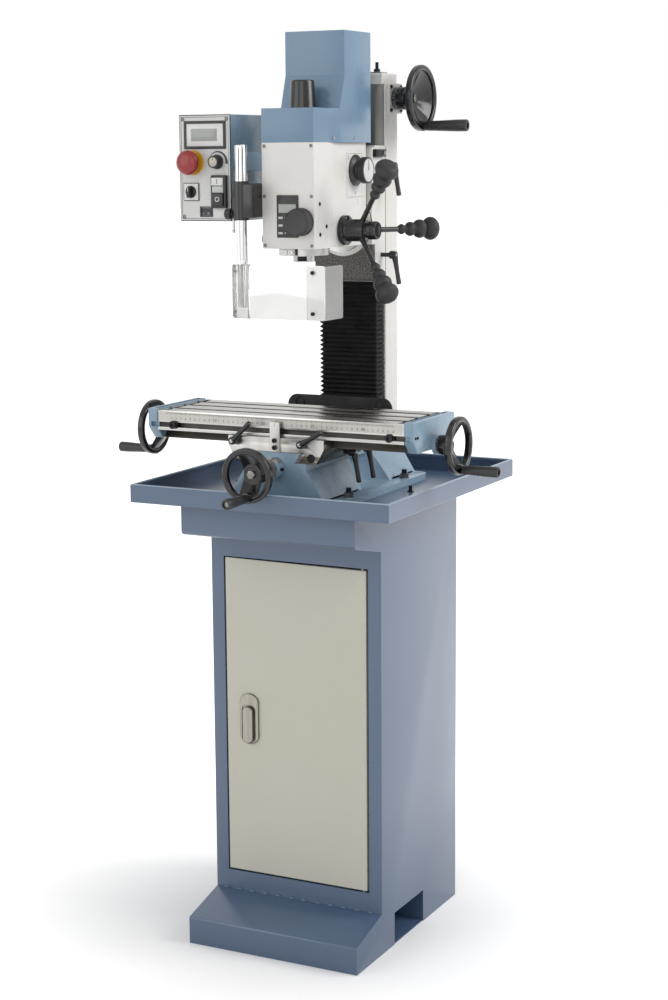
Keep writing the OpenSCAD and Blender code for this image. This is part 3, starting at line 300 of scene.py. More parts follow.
def lathe(name: str, profile: Profile, base: Point, axis: Point, steps: int = 48) -> Obj:
    """A turned piece: a half outline drawn beside its axis and spun round it.

    Args:
        name: The piece's name.
        profile: (radius, distance along the axis) of each corner in order.
        base: Where the axis starts.
        axis: Its direction.
        steps: Facets in a full turn.

    Returns:
        The turned solid, closed where the outline starts and ends on the axis.
    """
    along = Vector(axis).normalized()
    side = along.orthogonal().normalized()
    foot = Vector(base)
    piece = drawn(name, [foot + side * r + along * h for r, h in profile])
    with editing(piece, Pick.VERTS):
        bpy.ops.mesh.spin(steps=steps, angle=2 * math.pi, center=metres(foot), axis=along)
    return outward(piece)


def apply_modifier(piece: Obj, kind: str, **settings: object) -> Obj:
    """Adds one modifier with its settings and applies it to the mesh.

    Args:
        piece: The mesh to change.
        kind: Blender's name for the kind of modifier.
        settings: The modifier's properties by name.

    Returns:
        The same object.
    """
    select_only(piece)
    modifier = piece.modifiers.new(kind.title(), kind)
    for key, value in settings.items():
        setattr(modifier, key, value)
    bpy.ops.object.modifier_apply(modifier=modifier.name)
    return piece


def eased(
    piece: Obj, width: float, segments: int = 2, angle: float = 35, clamp: bool = False
) -> Obj:
    """Rounds every edge sharper than an angle, as a deburred or moulded edge is.

    Args:
        piece: The mesh.
        width: Width of the rounding in millimetres.
        segments: Facets across the rounding.
        angle: Edges flatter than this many degrees stay.
        clamp: Whether the rounding stops where two of them would meet.

    Returns:
        The same piece.
    """
    return apply_modifier(
        piece, "BEVEL", width=width * MM, segments=segments, limit_method="ANGLE",
        angle_limit=math.radians(angle), use_clamp_overlap=clamp,
    )


def near(value: float, wanted: float) -> bool:
    """Whether two sizes are the same within a fifth of a millimetre."""
    return abs(value - wanted) < 0.2


def in_plane(axis: int, wanted: float) -> Test:
    """A test for edges in the plane where one coordinate has a wanted value."""
    return lambda a, b: near(a[axis], wanted) and near(b[axis], wanted)


def along_axis(axis: int) -> Test:
    """A test for edges that run along one axis."""
    return lambda a, b: all(near(a[i], b[i]) for i in range(3) if i != axis)


def round_edges(piece: Obj, test: Test, width: float, segments: int = 4) -> Obj:
    """Rounds the edges that pass a test of their two ends.

    Args:
        piece: The mesh to change.
        test: Says of the two ends of an edge whether it is rounded.
        width: Radius of the rounding.
        segments: Number of steps in the rounding.

    Returns:
        The same object.
    """
    with editing(piece, Pick.EDGES):
        if pick(piece, Pick.EDGES, test):
            bpy.ops.mesh.bevel(
                offset=width * MM, segments=segments, affect="EDGES", clamp_overlap=True
            )
    return piece


def cut(piece: Obj, *tools: Obj) -> Obj:
    """Cuts the tools' solids out of a piece and removes the tools.

    Args:
        piece: The mesh to cut into.
        tools: The solids to take away, which are used up.

    Returns:
        The same object.
    """
    for tool in tools:
        apply_modifier(piece, "BOOLEAN", operation="DIFFERENCE", solver="EXACT", object=tool)
        bpy.data.objects.remove(tool)
    return piece


def joined(pieces: Sequence[Obj]) -> Obj:
    """Makes several meshes one, under the first one's name.

    Args:
        pieces: The meshes, of which the first is kept.

    Returns:
        The first object, which now holds them all.
    """
    select_only(pieces[0])
    for piece in pieces[1:]:
        piece.select_set(True)
    if len(pieces) > 1:
        bpy.ops.object.join()
    return pieces[0]


def copied(piece: Obj, name: str, move: Matrix) -> Obj:
    """A copy with its own mesh, moved by a matrix that is in metres.

    Args:
        piece: The mesh to copy.
        name: Name of the copy.
        move: The matrix, which is in metres.

    Returns:
        The copy.
    """
    twin = piece.copy()
    twin.data = piece.data.copy()
    bpy.context.collection.objects.link(twin)
    twin.data.transform(move)
    return named(twin, name)


def row(piece: Obj, moves: Sequence[Matrix]) -> Obj:
    """Copies a small piece with each move and makes all the copies one mesh with it."""
    return joined([piece, *[copied(piece, piece.name + "_copy", move) for move in moves]])


def shift(x: float = 0, y: float = 0, z: float = 0) -> Matrix:
    """A move by millimetres as a matrix."""
    return Matrix.Translation(metres((x, y, z)))


def about(point: Point, axis: Point, degrees: float) -> Matrix:
    """A turn about an axis through a point given in millimetres."""
    turn = Matrix.Rotation(math.radians(degrees), 4, Vector(axis))
    return shift(*point) @ turn @ shift(*(-Vector(point)))


def ring_of(point: Point, axis: Point, count: int) -> list[Matrix]:
    """The turns that make one piece an even ring of several."""
    return [about(point, axis, 360 / count * i) for i in range(1, count)]


def corner_moves(first: Point, second: Point) -> list[Matrix]:
    """The moves from one corner of a rectangle to the other three, by its two sides."""
    return [shift(*first), shift(*second), shift(*(Vector(first) + Vector(second)))]


def framed(x_axis: Point, y_axis: Point, z_axis: Point) -> Matrix:
    """The rotation whose columns are three axes."""
    return Matrix((x_axis, y_axis, z_axis)).transposed().to_4x4()


def node_copy(node: str, name: str) -> Obj:
    """A merged copy of a CAD node, with each flat face in one piece.

    Args:
        node: The CAD node.
        name: The copy's name.

    Returns:
        The copy, free of its body, ready to be shaped.
    """
    twin = copied(bpy.data.objects[node], name, Matrix())
    twin.parent = None
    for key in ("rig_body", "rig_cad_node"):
        del twin[key]
    twin.data.materials.clear()
    twin.hide_render = twin.hide_viewport = False
    twin.hide_set(False)
    with editing(twin):
        bpy.ops.mesh.remove_doubles(threshold=WELD)
        bpy.ops.mesh.customdata_custom_splitnormals_clear()
        bpy.ops.mesh.dissolve_limited(angle_limit=FLAT)
    return twin


def sliced(piece: Obj, point: Point, normal: Point, part_off: bool = True) -> Obj:
    """Cuts a piece along a plane.

    Args:
        piece: The mesh.
        point: A point of the plane.
        normal: The side that goes.
        part_off: Whether that side goes and the cut is closed, or faces are only parted.

    Returns:
        The same piece.
    """
    with editing(piece):
        bpy.ops.mesh.bisect(
            plane_co=metres(point), plane_no=Vector(normal),
            use_fill=part_off, clear_outer=part_off,
        )
    return piece


def lettered(name: str, words: str, height: float, place: Matrix, depth: float = 0.12) -> Obj:
    """Raised figures as a mesh, standing on a plane.

    Args:
        name: The piece's name.
        words: The figures.
        height: Height of a figure in millimetres.
        place: Turns and moves the text's own plane, in metres.
        depth: Thickness in millimetres.

    Returns:
        The mesh.
    """
    bpy.ops.object.select_all(action="DESELECT")
    bpy.ops.object.text_add()
    text = bpy.context.active_object.data
    text.body = words
    text.size = height * MM * 1.4
    text.align_x = text.align_y = "CENTER"
    text.extrude = depth * MM / 2
    text.resolution_u = 3
    bpy.ops.object.convert(target="MESH")
    figures = named(bpy.context.active_object, name)
    figures.data.transform(place)
    return outward(figures)


def painted(piece: Obj, *tests: Test) -> Obj:
    """Gives each face the number of the last test it passes, or 0 where it passes none.

    Args:
        piece: The mesh.
        tests: Called with a face's middle in millimetres and its normal.

    Returns:
        The same piece, with room for as many finishes.
    """
    for _ in range(len(tests) + 1):
        piece.data.materials.append(None)
    for face in piece.data.polygons:
        place = face.center / MM, face.normal
        passed = [i for i, test in enumerate(tests, 1) if test(*place)]
        face.material_index = max(passed, default=0)
    return piece


def finish(
    piece: Obj,
    body: str | None,
    finishes: Finish | Sequence[Finish],
    *replaces: str,
    slot: str = "",
    angle: float = 32,
) -> Obj:
    """Shades, dresses and hangs up a finished piece.

    Args:
        piece: The mesh, with its place in its vertices.
        body: The CAD body it moves with, or None for one that rides on no body.
        finishes: Its finish, or one for each material index.
        replaces: The CAD nodes it stands for.
        slot: The record's material slot, where it isn't the first finish's own; not used.
        angle: Edges sharper than this many degrees stay sharp in shading.

    Returns:
        The same piece.
    """
    select_only(piece)
    bpy.ops.object.shade_smooth_by_angle(angle=math.radians(angle))
    looks = [finishes] if isinstance(finishes, Finish) else list(finishes)
    for index, look in enumerate(looks):
        if index < len(piece.data.materials):
            piece.data.materials[index] = look.material()
        else:
            piece.data.materials.append(look.material())
    if body:
        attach(piece, body)
    if replaces:
        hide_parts(*replaces)
    LOG.info("%s on %s: %d faces", piece.name, body, len(piece.data.polygons))
    return piece


# ---------------------------------------------------------------- finishes


def linear(colour: str) -> tuple[float, float, float, float]:
    """Turns an sRGB hex colour into linear RGBA.

    Args:
        colour: The colour as #RRGGBB.

    Returns:
        Red, green, blue and alpha.
    """
    parts = [int(colour[i : i + 2], 16) / 255 for i in (1, 3, 5)]
    red, green, blue = (
        c / 12.92 if c <= 0.04045 else ((c + 0.055) / 1.055) ** 2.4 for c in parts
    )
    return red, green, blue, 1.0


def empty_tree(owner: bpy.types.Material | bpy.types.World) -> bpy.types.NodeTree:
    """The node tree of a material or world, emptied.

    Args:
        owner: The material or world.

    Returns:
        Its node tree, without nodes.
    """
    owner.use_nodes = True
    owner.node_tree.nodes.clear()
    return owner.node_tree


def add_node(
    tree: bpy.types.NodeTree,
    kind: str,
    settings: dict[str | int, object],
    links: dict[str | int, bpy.types.NodeSocket],
) -> bpy.types.Node:
    """Adds a node with its settings and links.

    Args:
        tree: The node tree.
        kind: The node's type name without "ShaderNode".
        settings: Values for its properties, or for its inputs by name or number.
        links: Sockets to join to its inputs.

    Returns:
        The node.
    """
    node = tree.nodes.new("ShaderNode" + kind)
    own = {key for key in settings if isinstance(key, str) and hasattr(node, key)}
    for key in own:
        setattr(node, key, settings[key])
    for key in settings.keys() - own:
        node.inputs[key].default_value = settings[key]
    for key, socket in links.items():
        tree.links.new(socket, node.inputs[key])
    return node


@dataclass(frozen=True)
class Finish:
    """One finish: a shader whose colour, roughness and relief vary over the surface.

    Attributes:
        name: Common name of the material and how its surface was made.
        colour: Its main colour.
        second: The colour that its patches and specks drift to.
        slot: The record's material slot for it; not used.
        patch: Size of a patch in millimetres.
        contrast: How far the second colour shows, 0 to 1.
        roughness: Middle roughness.
        spread: How far the roughness varies each way.
        relief: Size of a bump in millimetres.
        depth: Height of a bump in millimetres.
        stretch: Scale of the pattern along each axis, below 1 where it runs long.
        metallic: 1 for bare metal.
        settings: Other numbers of the shader.
    """

    name: str
    colour: str
    second: str
    slot: str
    patch: float = 30
    contrast: float = 0.4
    roughness: float = 0.4
    spread: float = 0.05
    relief: float = 0.6
    depth: float = 0.01
    stretch: tuple[float, float, float] = (1, 1, 1)
    metallic: float = 0
    settings: tuple[tuple[str, float], ...] = ()

    def material(self) -> bpy.types.Material:
        """Builds the material, or gives it back if it is there already.

        Returns:
            The material that carries this finish.
        """
        made = bpy.data.materials.get(self.name)
        if made:
            return made
        made = bpy.data.materials.new(self.name)
        tree = empty_tree(made)
        place = add_node(tree, "TexCoord", {}, {})
        run = add_node(
            tree, "Mapping", {"Scale": self.stretch}, {"Vector": place.outputs["Object"]}
        ).outputs["Vector"]

        def noise(size: float, detail: float) -> bpy.types.NodeSocket:
            """Noise whose features are about a size in millimetres."""
            numbers = {"Scale": 1 / (size * MM), "Detail": detail, "Roughness": 0.5}
            return add_node(tree, "TexNoise", numbers, {"Vector": run}).outputs["Fac"]

        patches = noise(self.patch, 3)

        def ranged(low: float, high: float) -> bpy.types.NodeSocket:
            """The patches as a value between two others."""
            numbers = {
                "interpolation_type": "SMOOTHSTEP",
                "From Min": 0.3, "From Max": 0.7, "To Min": low, "To Max": high,
            }
            return add_node(tree, "MapRange", numbers, {"Value": patches}).outputs["Result"]

        share = ranged(0, self.contrast)
        colours = {"data_type": "RGBA", 6: linear(self.colour), 7: linear(self.second)}
        colour = add_node(tree, "Mix", colours, {0: share})
        rough = self.roughness
        gloss = ranged(max(0.02, rough - self.spread), min(1.0, rough + self.spread))
        height = {"Height": noise(self.relief, 2)}
        bump = add_node(tree, "Bump", {"Strength": 1.0, "Distance": self.depth * MM}, height)
        shader = add_node(
            tree,
            "BsdfPrincipled",
            {"Metallic": self.metallic, **dict(self.settings)},
            {
                "Base Color": colour.outputs[2], "Roughness": gloss,
                "Normal": bump.outputs["Normal"],
            },
        )
        add_node(tree, "OutputMaterial", {}, {"Surface": shader.outputs["BSDF"]})
        return made


# Powder coat on folded sheet steel: an even satin sheen with a fine orange peel.
STAND_BLUE = Finish(
    "powder_coated_steel_blue", "#4A5F7B", "#455A76", "blue_paint", patch=180, contrast=0.35,
    roughness=0.3, spread=0.02, relief=2.4, depth=0.008,
    settings=(("Specular IOR Level", 0.7), ("Coat Weight", 0.2), ("Coat Roughness", 0.2)),
)
# Sprayed machine enamel over filled cast iron: glossier, with long soft waves.
CASTING_BLUE = Finish(
    "machine_enamel_blue", "#8CA5B8", "#849EB2", "blue_paint", patch=60, contrast=0.3,
    roughness=0.28, spread=0.03, relief=9, depth=0.02,
)
# Sprayed sheet-metal cover, a shade deeper than the castings.
COVER_BLUE = Finish(
    "sprayed_cover_blue", "#7390A9", "#6D8AA4", "cover_blue", patch=90, contrast=0.35,
    roughness=0.28, spread=0.02, relief=3, depth=0.006,
)
# Warm white sprayed enamel over machined castings.
WARM_WHITE = Finish(
    "machine_enamel_white", "#E9E7E2", "#E2E0DA", "white_paint", patch=70, roughness=0.32,
    spread=0.06, relief=5, depth=0.02,
)
# Powder-coated beige sheet: a flat, slightly matt face.
DOOR_BEIGE = Finish(
    "powder_coated_steel_beige", "#CDCABC", "#C7C4B5", "beige_paint", patch=200, contrast=0.35,
    roughness=0.42, spread=0.04, relief=2.4, depth=0.012,
)
# Moulded phenolic, buffed: deep black with a clear gloss.
BLACK_ENAMEL = Finish(
    "moulded_phenolic_black", "#131314", "#1B1B1D", "black_enamel", roughness=0.2, spread=0.06,
    relief=4,
)
# Moulded ABS with a fine spark-eroded texture.
BLACK_ABS = Finish(
    "moulded_abs_black", "#1A1A1C", "#232325", "black_plastic", patch=20, roughness=0.44,
    spread=0.07, relief=0.9,
)
# Matt rubber-filled grips.
GRIP_RUBBER = Finish(
    "moulded_grip_black", "#161617", "#202022", "black_rubber", patch=14, contrast=0.5,
    roughness=0.58, spread=0.08, relief=1.2, depth=0.03,
)
# Calendered rubber sheet: nearly matt, dusty in patches.
BLACK_RUBBER = Finish(
    "rubber_sheet_black", "#111112", "#20201F", "black_rubber", patch=24, contrast=0.45,
    roughness=0.62, spread=0.1, relief=1.5, depth=0.05, settings=(("Specular IOR Level", 0.3),),
)
# Surface-ground cast iron: fine grinding lines along the travel.
GROUND_STEEL = Finish(
    "ground_cast_iron", "#B4B3B0", "#9A9995", "ground_steel", patch=26, contrast=0.5,
    roughness=0.27, spread=0.1, relief=1.2, depth=0.008, stretch=(0.05, 1, 1), metallic=1,
)
# Ground faces whose lines run upright, on the column ways.
GROUND_UPRIGHT = Finish(
    "ground_ways_upright", "#B6B5B1", "#9E9C97", "ground_steel", patch=26, contrast=0.5,
    roughness=0.34, spread=0.1, relief=1.2, depth=0.008, stretch=(1, 1, 0.05), metallic=1,
)
# Hard chrome on polished steel.
CHROME = Finish(
    "polished_chrome", "#D9DADC", "#CFD0D2", "bright_chrome", patch=50, contrast=0.3,
    roughness=0.1, spread=0.04, relief=6, depth=0.004, metallic=1,
)
# Brushed nickel plate, lines upright.
BRUSHED_NICKEL = Finish(
    "brushed_nickel_plate", "#969188", "#87827A", "bright_chrome", patch=8, contrast=0.5,
    spread=0.08, relief=0.8, depth=0.006, stretch=(1, 1, 0.06), metallic=1,
)
# Bright turned steel of screws and shafts.
TURNED_STEEL = Finish(
    "turned_steel", "#B4B4B2", "#A09F9B", "ground_steel", roughness=0.28, relief=0.7,
    depth=0.005, metallic=1,
)
# Zinc-plated screws, passivated: a duller grey than bare steel.
ZINC_STEEL = Finish(
    "zinc_plated_steel", "#7C7B78", "#63625F", "ground_steel", patch=4, contrast=0.5,
    roughness=0.34, spread=0.06, depth=0.005, metallic=1,
)
# Black-oxide socket screws: dark metal with a faint sheen.
BLACK_OXIDE = Finish(
    "black_oxide_steel", "#2A2A2C", "#1C1C1D", "black_enamel", patch=6, contrast=0.5,
    roughness=0.38, spread=0.08, relief=0.7, metallic=0.8,
)
# Sand-cast iron, unpainted and wiped with oil: speckled dark grey.
CAST_IRON = Finish(
    "sand_cast_iron", "#625F5A", "#2E2E2D", "cast_grey", patch=3, contrast=0.9, roughness=0.5,
    spread=0.14, relief=1.6, depth=0.12, metallic=0.6,
)
# Machined dovetails with a film of brown way oil.
OILED_IRON = Finish(
    "oiled_machined_iron", "#8A8478", "#4E4436", "machined_iron", patch=10, contrast=0.7,
    roughness=0.3, spread=0.12, relief=1.4, depth=0.02, stretch=(1, 0.1, 1), metallic=0.9,
)
# Painted shade: a dark iron colour for the faces set back in the table's slots and under it, and in
# the brackets' troughs.
PAINTED_SHADE_IRON = Finish(
    "oil_blackened_iron", "#47433D", "#2E2A26", "machined_iron", patch=20, contrast=0.6,
    roughness=0.36, spread=0.08, relief=1.6, depth=0.02, stretch=(0.3, 1, 1), metallic=0.7,
)
# Painted highlight: a lighter, glossier blue on top of the tray's rolled hem, standing in for the
# bright line of light along it.
HEM_HIGHLIGHT_BLUE = Finish(
    "powder_coat_thinned_blue", "#A3B3C4", "#93A4B6", "blue_paint", patch=60, roughness=0.24,
    spread=0.03, relief=2.4, depth=0.006,
)
# Etched and anodised aluminium strip: a soft grey metal.
ETCHED_SCALE = Finish(
    "etched_aluminium", "#B4B2AC", "#A5A39D", "ground_steel", roughness=0.42, depth=0.004,
    metallic=0.6,
)
# Sawn edges of polycarbonate: they scatter the light and look milky.
SAWN_EDGE = Finish(
    "polycarbonate_sawn", "#F1F1EF", "#E4E4E2", "clear_plastic", patch=6, spread=0.06,
    relief=0.7,
)
# Cast bronze of the feed nuts.
BRONZE = Finish(
    "cast_bronze", "#A8824A", "#8C6A38", "ground_steel", patch=5, contrast=0.5, roughness=0.36,
    spread=0.1, relief=1.4, depth=0.02, metallic=1,
)
# Signal red ABS of the emergency stop.
SIGNAL_RED = Finish(
    "moulded_abs_red", "#98282A", "#8C2225", "red_plastic", patch=14, roughness=0.32,
    relief=1.5,
)
# Signal yellow collar.
SIGNAL_YELLOW = Finish(
    "moulded_abs_yellow", "#DBA41C", "#CF9A16", "red_plastic", patch=10, relief=1.5,
)
# White moulded ABS of the start button.
WHITE_PLASTIC = Finish(
    "moulded_abs_white", "#E6E6E3", "#DDDDD9", "white_plastic", patch=12, relief=1.5,
)
# Silver polycarbonate film, screen-printed from behind: fine even grain.
SILVER_FILM = Finish(
    "silver_label_film", "#DADAD8", "#D1D1CF", "white_plastic", roughness=0.38, depth=0.006,
    settings=(("Specular IOR Level", 0.6),),
)
# Printed white film of labels, scales and legend plates.
WHITE_FILM = Finish(
    "white_label_film", "#E9E9E7", "#E2E2E0", "white_plastic", depth=0.005,
)
# Printed black ink.
BLACK_INK = Finish(
    "printed_ink_black", "#202022", "#29292B", "black_enamel", patch=5, roughness=0.5,
    depth=0.002,
)
# Liquid-crystal cell behind a glossy window.
LCD_CELL = Finish(
    "liquid_crystal_cell", "#A4A8A2", "#999D97", "white_plastic", patch=10, contrast=0.3,
    roughness=0.12, spread=0.03, relief=3, depth=0.001,
)
# Clear grey lens of the push block's lamp.
GREY_LENS = Finish(
    "lamp_lens_clear", "#C7CBC6", "#B5BAB4", "white_plastic", patch=4, roughness=0.2,
    spread=0.04, relief=1,
)
# Cast polycarbonate pane: clear, its edges catch the light.
CLEAR_PANE = Finish(
    "polycarbonate_clear", "#F1F1EF", "#ECECEA", "clear_plastic", patch=80, contrast=0.3,
    roughness=0.07, spread=0.03, relief=30,
    settings=(("Transmission Weight", 0.9), ("IOR", 1.4)),
)
# Frosted polycarbonate of the guard's side piece.
FROSTED_PANE = Finish(
    "polycarbonate_frosted", "#C9C9C6", "#BEBEBB", "clear_plastic", roughness=0.36, spread=0.08,
    relief=2, depth=0.02, settings=(("Transmission Weight", 0.6), ("IOR", 1.4)),
)


# ---------------------------------------------------------------- studio


def seen_ray(tree: bpy.types.NodeTree) -> bpy.types.NodeSocket:
    """1 for camera, glossy and transmission rays, which see the background.

    Args:
        tree: The node tree to work in.

    Returns:
        A socket that gives 1 for these rays and 0 for the rest.
    """
    ray = add_node(tree, "LightPath", {}, {}).outputs
    seen = ray["Is Camera Ray"]
    for other in ("Is Glossy Ray", "Is Transmission Ray"):
        seen = add_node(
            tree, "Math", {"operation": "MAXIMUM"}, {0: seen, 1: ray[other]}
        ).outputs[0]
    return seen


@dataclass
class Studio:
    """Pale floor, soft lamps and the camera.

    Attributes:
        floor_size: Side of the floor.
        floor_colour: Its colour.
        floor_glow: How strongly it glows below the machine and far from it.
        glow_reach: Where the glow starts to rise and where it is full.
        sky: Strength of the even fill.
        lamps: Each lamp's name, place, side and power; all face one point.
        aim: That point.
        lens: The camera's focal length on a 36 mm film.
        camera_at: The camera's place.
        turn: Its yaw, its pitch downwards and its roll in radians.
    """

    floor_size: float = 200000
    floor_colour: str = "#EEEEEE"
    floor_glow: tuple[float, float] = (0.16, 0.95)
    glow_reach: tuple[float, float] = (200, 1000)
    sky: float = 0.42
    lamps: tuple[tuple[str, Point, float, float], ...] = (
        ("key", (3400, 900, 3300), 2200, 95),
        ("fill", (-2200, -3200, 2300), 2600, 36),
        ("front", (1200, -4200, 2400), 2400, 30),
    )
    aim: tuple[float, float, float] = (0, 0, 900)
    lens: float = 71.1
    camera_at: tuple[float, float, float] = (1672.7, -3188.4, 1460.2)
    turn: tuple[float, float, float] = (-0.469035, 0.171124, -0.007159)

    def floor(self) -> None:
        """A plain pale floor that keeps the shadow and else shows as white."""
        half = self.floor_size / 2
        ground = block("floor", (-half, -half, -20), (half, half, 0))
        look = bpy.data.materials.new("studio_floor")
        tree = empty_tree(look)
        seen = seen_ray(tree)
        matt = add_node(tree, "BsdfDiffuse", {"Color": linear(self.floor_colour)}, {})
        place = add_node(tree, "TexCoord", {}, {}).outputs["Object"]
        away = add_node(tree, "VectorMath", {"operation": "LENGTH"}, {0: place})
        share = add_node(
            tree,
            "MapRange",
            {
                "From Min": self.glow_reach[0] * MM, "From Max": self.glow_reach[1] * MM,
                "To Min": self.floor_glow[0], "To Max": self.floor_glow[1],
            },
            {"Value": away.outputs["Value"]},
        )
        strength = add_node(
            tree, "Math", {"operation": "MULTIPLY"}, {0: seen, 1: share.outputs[0]}
        )
        glow = add_node(
            tree, "Emission", {"Color": (1, 1, 1, 1)}, {"Strength": strength.outputs[0]}
        )
        both = add_node(tree, "AddShader", {}, {0: matt.outputs[0], 1: glow.outputs[0]})
        add_node(tree, "OutputMaterial", {}, {"Surface": both.outputs[0]})
        ground.data.materials.append(look)
        ground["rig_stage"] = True

    def world(self) -> None:
        """White where it is seen, and a soft even fill on the object."""
        world = bpy.data.worlds.new("studio")
        bpy.context.scene.world = world
        tree = empty_tree(world)
        seen = seen_ray(tree)
        fill, white = (
            add_node(tree, "Background", {"Color": (1, 1, 1, 1), "Strength": strength}, {})
            for strength in (self.sky, 1.0)
        )
        mixed = {0: seen, 1: fill.outputs[0], 2: white.outputs[0]}
        both = add_node(tree, "MixShader", {}, mixed)
        add_node(tree, "OutputWorld", {}, {"Surface": both.outputs[0]})

    def lamp(self, name: str, at: Point, size: float, watts: float) -> None:
        """Hangs a square soft box that faces the machine.

        Args:
            name: The lamp's name.
            at: Its place in millimetres.
            size: Its side in millimetres.
            watts: Its power.
        """
        data = bpy.data.lights.new(name, "AREA")
        data.shape = "SQUARE"
        data.size = size * MM
        data.energy = watts
        lamp = bpy.data.objects.new(name, data)
        lamp.matrix_world = shift(*at) @ turned_to(Vector(at) - Vector(self.aim))
        bpy.context.collection.objects.link(lamp)

    def camera(self) -> None:
        """Sets the camera, to the right of the machine at head height."""
        yaw, pitch, roll = self.turn
        cos, sin = math.cos, math.sin
        forward = Vector((sin(yaw) * cos(pitch), cos(yaw) * cos(pitch), -sin(pitch)))
        level = Vector((cos(yaw), -sin(yaw), 0))
        upright = level.cross(forward)
        right = cos(roll) * level + sin(roll) * upright
        above = cos(roll) * upright - sin(roll) * level
        data = bpy.data.cameras.new("camera")
        data.lens, data.sensor_width = self.lens, 36
        data.clip_start, data.clip_end = 0.05, 60
        camera = bpy.data.objects.new("camera", data)
        camera.matrix_world = shift(*self.camera_at) @ framed(right, above, -forward)
        bpy.context.collection.objects.link(camera)
        bpy.context.scene.camera = camera

    def build(self) -> None:
        """Sets up the floor, world, lamps and camera."""
        self.floor()
        self.world()
        for lamp in self.lamps:
            self.lamp(*lamp)
        self.camera()
        bpy.context.scene.view_settings.view_transform = "Standard"


# ---------------------------------------------------------------- shared small parts


@dataclass(frozen=True)
class SocketScrew:
    """Cap screw with a hexagon socket.

    Attributes:
        radius: Radius of the head.
        height: Height of the head.
    """

    radius: float
    height: float

    def build(self, name: str, base: Point, axis: Point) -> Obj:
        """Turns the head and sinks its socket.

        Args:
            name: Name of the object.
            base: Middle of the head's seat.
            axis: Direction in which the head stands off its seat.

        Returns:
            The screw head.
        """
        r, high = self.radius, self.height
        edge = r * 0.12
        profile = [(0, 0), (r, 0), (r, high - edge), (r - edge, high), (0, high)]
        head = lathe(name, profile, base, axis, 24)
        along = Vector(axis).normalized()
        top = Vector(base) + along * high
        return cut(head, rod("socket", top - along * high * 0.6, top + along, r * 0.5, 6))


@dataclass(frozen=True)
class CrossScrew:
    """Pan-head screw with a crossed recess.

    Attributes:
        radius: Radius of the head.
    """

    radius: float

    def build(self, name: str, base: Point, axis: Point) -> Obj:
        """Turns the domed head and cuts the two slots of its recess.

        Args:
            name: Name of the object.
            base: Middle of the head's seat.
            axis: Direction in which the head stands off its seat.

        Returns:
            The screw head.
        """
        r = self.radius
        dome = [
            (0, 0), (r, 0), (r, 0.3 * r), (0.8 * r, 0.55 * r), (0.4 * r, 0.68 * r), (0, 0.7 * r),
        ]
        head = lathe(name, dome, base, axis, 24)
        for x, y in ((r * 0.62, r * 0.16), (r * 0.16, r * 0.62)):
            slot = block("slot", (-x, -y, r * 0.25), (x, y, r))
            slot.data.transform(shift(*base) @ turned_to(axis))
            cut(head, slot)
        return head


# ---------------------------------------------------------------- cabinet stand


@dataclass(frozen=True)
class CabinetStand:
    """Welded sheet-steel cabinet with a sloping apron, a sloping foot and a door opening.

    Attributes:
        half_width: Half of its width.
        corners: Its side outline as (y, z) and the outer radius of the fold there.
        side_fold: Outer radius of the folds down the sides.
        fork: The fork channel's front, rear and height.
        beads: How many weld beads join foot and cabinet, and the distance between them.
        seam: (y, z) of their seam.
    """

    half_width: float = 176
    corners: tuple[Point, ...] = (
        (-157, 846, 2), (-157, 787, 8), (-157, 52, 3.2), (-157, 0, 2), (292, 0, 2), (292, 846, 2),
    )
    side_fold: float = 2.5
    fork: tuple[float, float, float] = (5, 135, 63)
    beads: tuple[int, float] = (12, 28)
    seam: tuple[float, float] = (-50.8, 79.6)

    def is_side(self, a: Vector, b: Vector) -> bool:
        """Whether an edge runs round one of the two sides, away from the fork channel.

        Args:
            a: One end of the edge.
            b: Its other end.

        Returns:
            True if the edge is to be rounded.
        """
        front, rear, high = self.fork
        inside = all(front - 1 < end.y < rear + 1 and end.z < high + 1 for end in (a, b))
        return near(a.x, b.x) and near(abs(a.x), self.half_width) and not inside

    def build(self) -> None:
        """Folds the sheet's corners over, closes the fork channel and lays the weld beads."""
        shell = node_copy("stand", "cabinet_sheet")
        for y, z, radius in self.corners:
            at_y, at_z = in_plane(1, y), in_plane(2, z)
            round_edges(
                shell, lambda a, b: abs(a.x - b.x) > 1 and at_y(a, b) and at_z(a, b), radius, 5
            )
        round_edges(shell, self.is_side, self.side_fold, 3)
        finish(shell, "frame", STAND_BLUE, "stand")
        front, rear, _ = self.fork
        half = self.half_width - 1
        sill = block("channel_floor", (-half, front - 2, 0.4), (half, rear + 2, 2.4))
        finish(eased(sill, 0.6), "frame", STAND_BLUE)
        count, pitch = self.beads
        profile = [(0, 0), (1.8, 1), (2.7, 4), (2.5, 8), (1.4, 11), (0, 12)]
        bead = lathe("weld_beads", profile, (-pitch * (count - 1) / 2 - 6, *self.seam), RIGHT, 12)
        finish(row(bead, [shift(x=pitch * i) for i in range(1, count)]), "frame", STAND_BLUE)


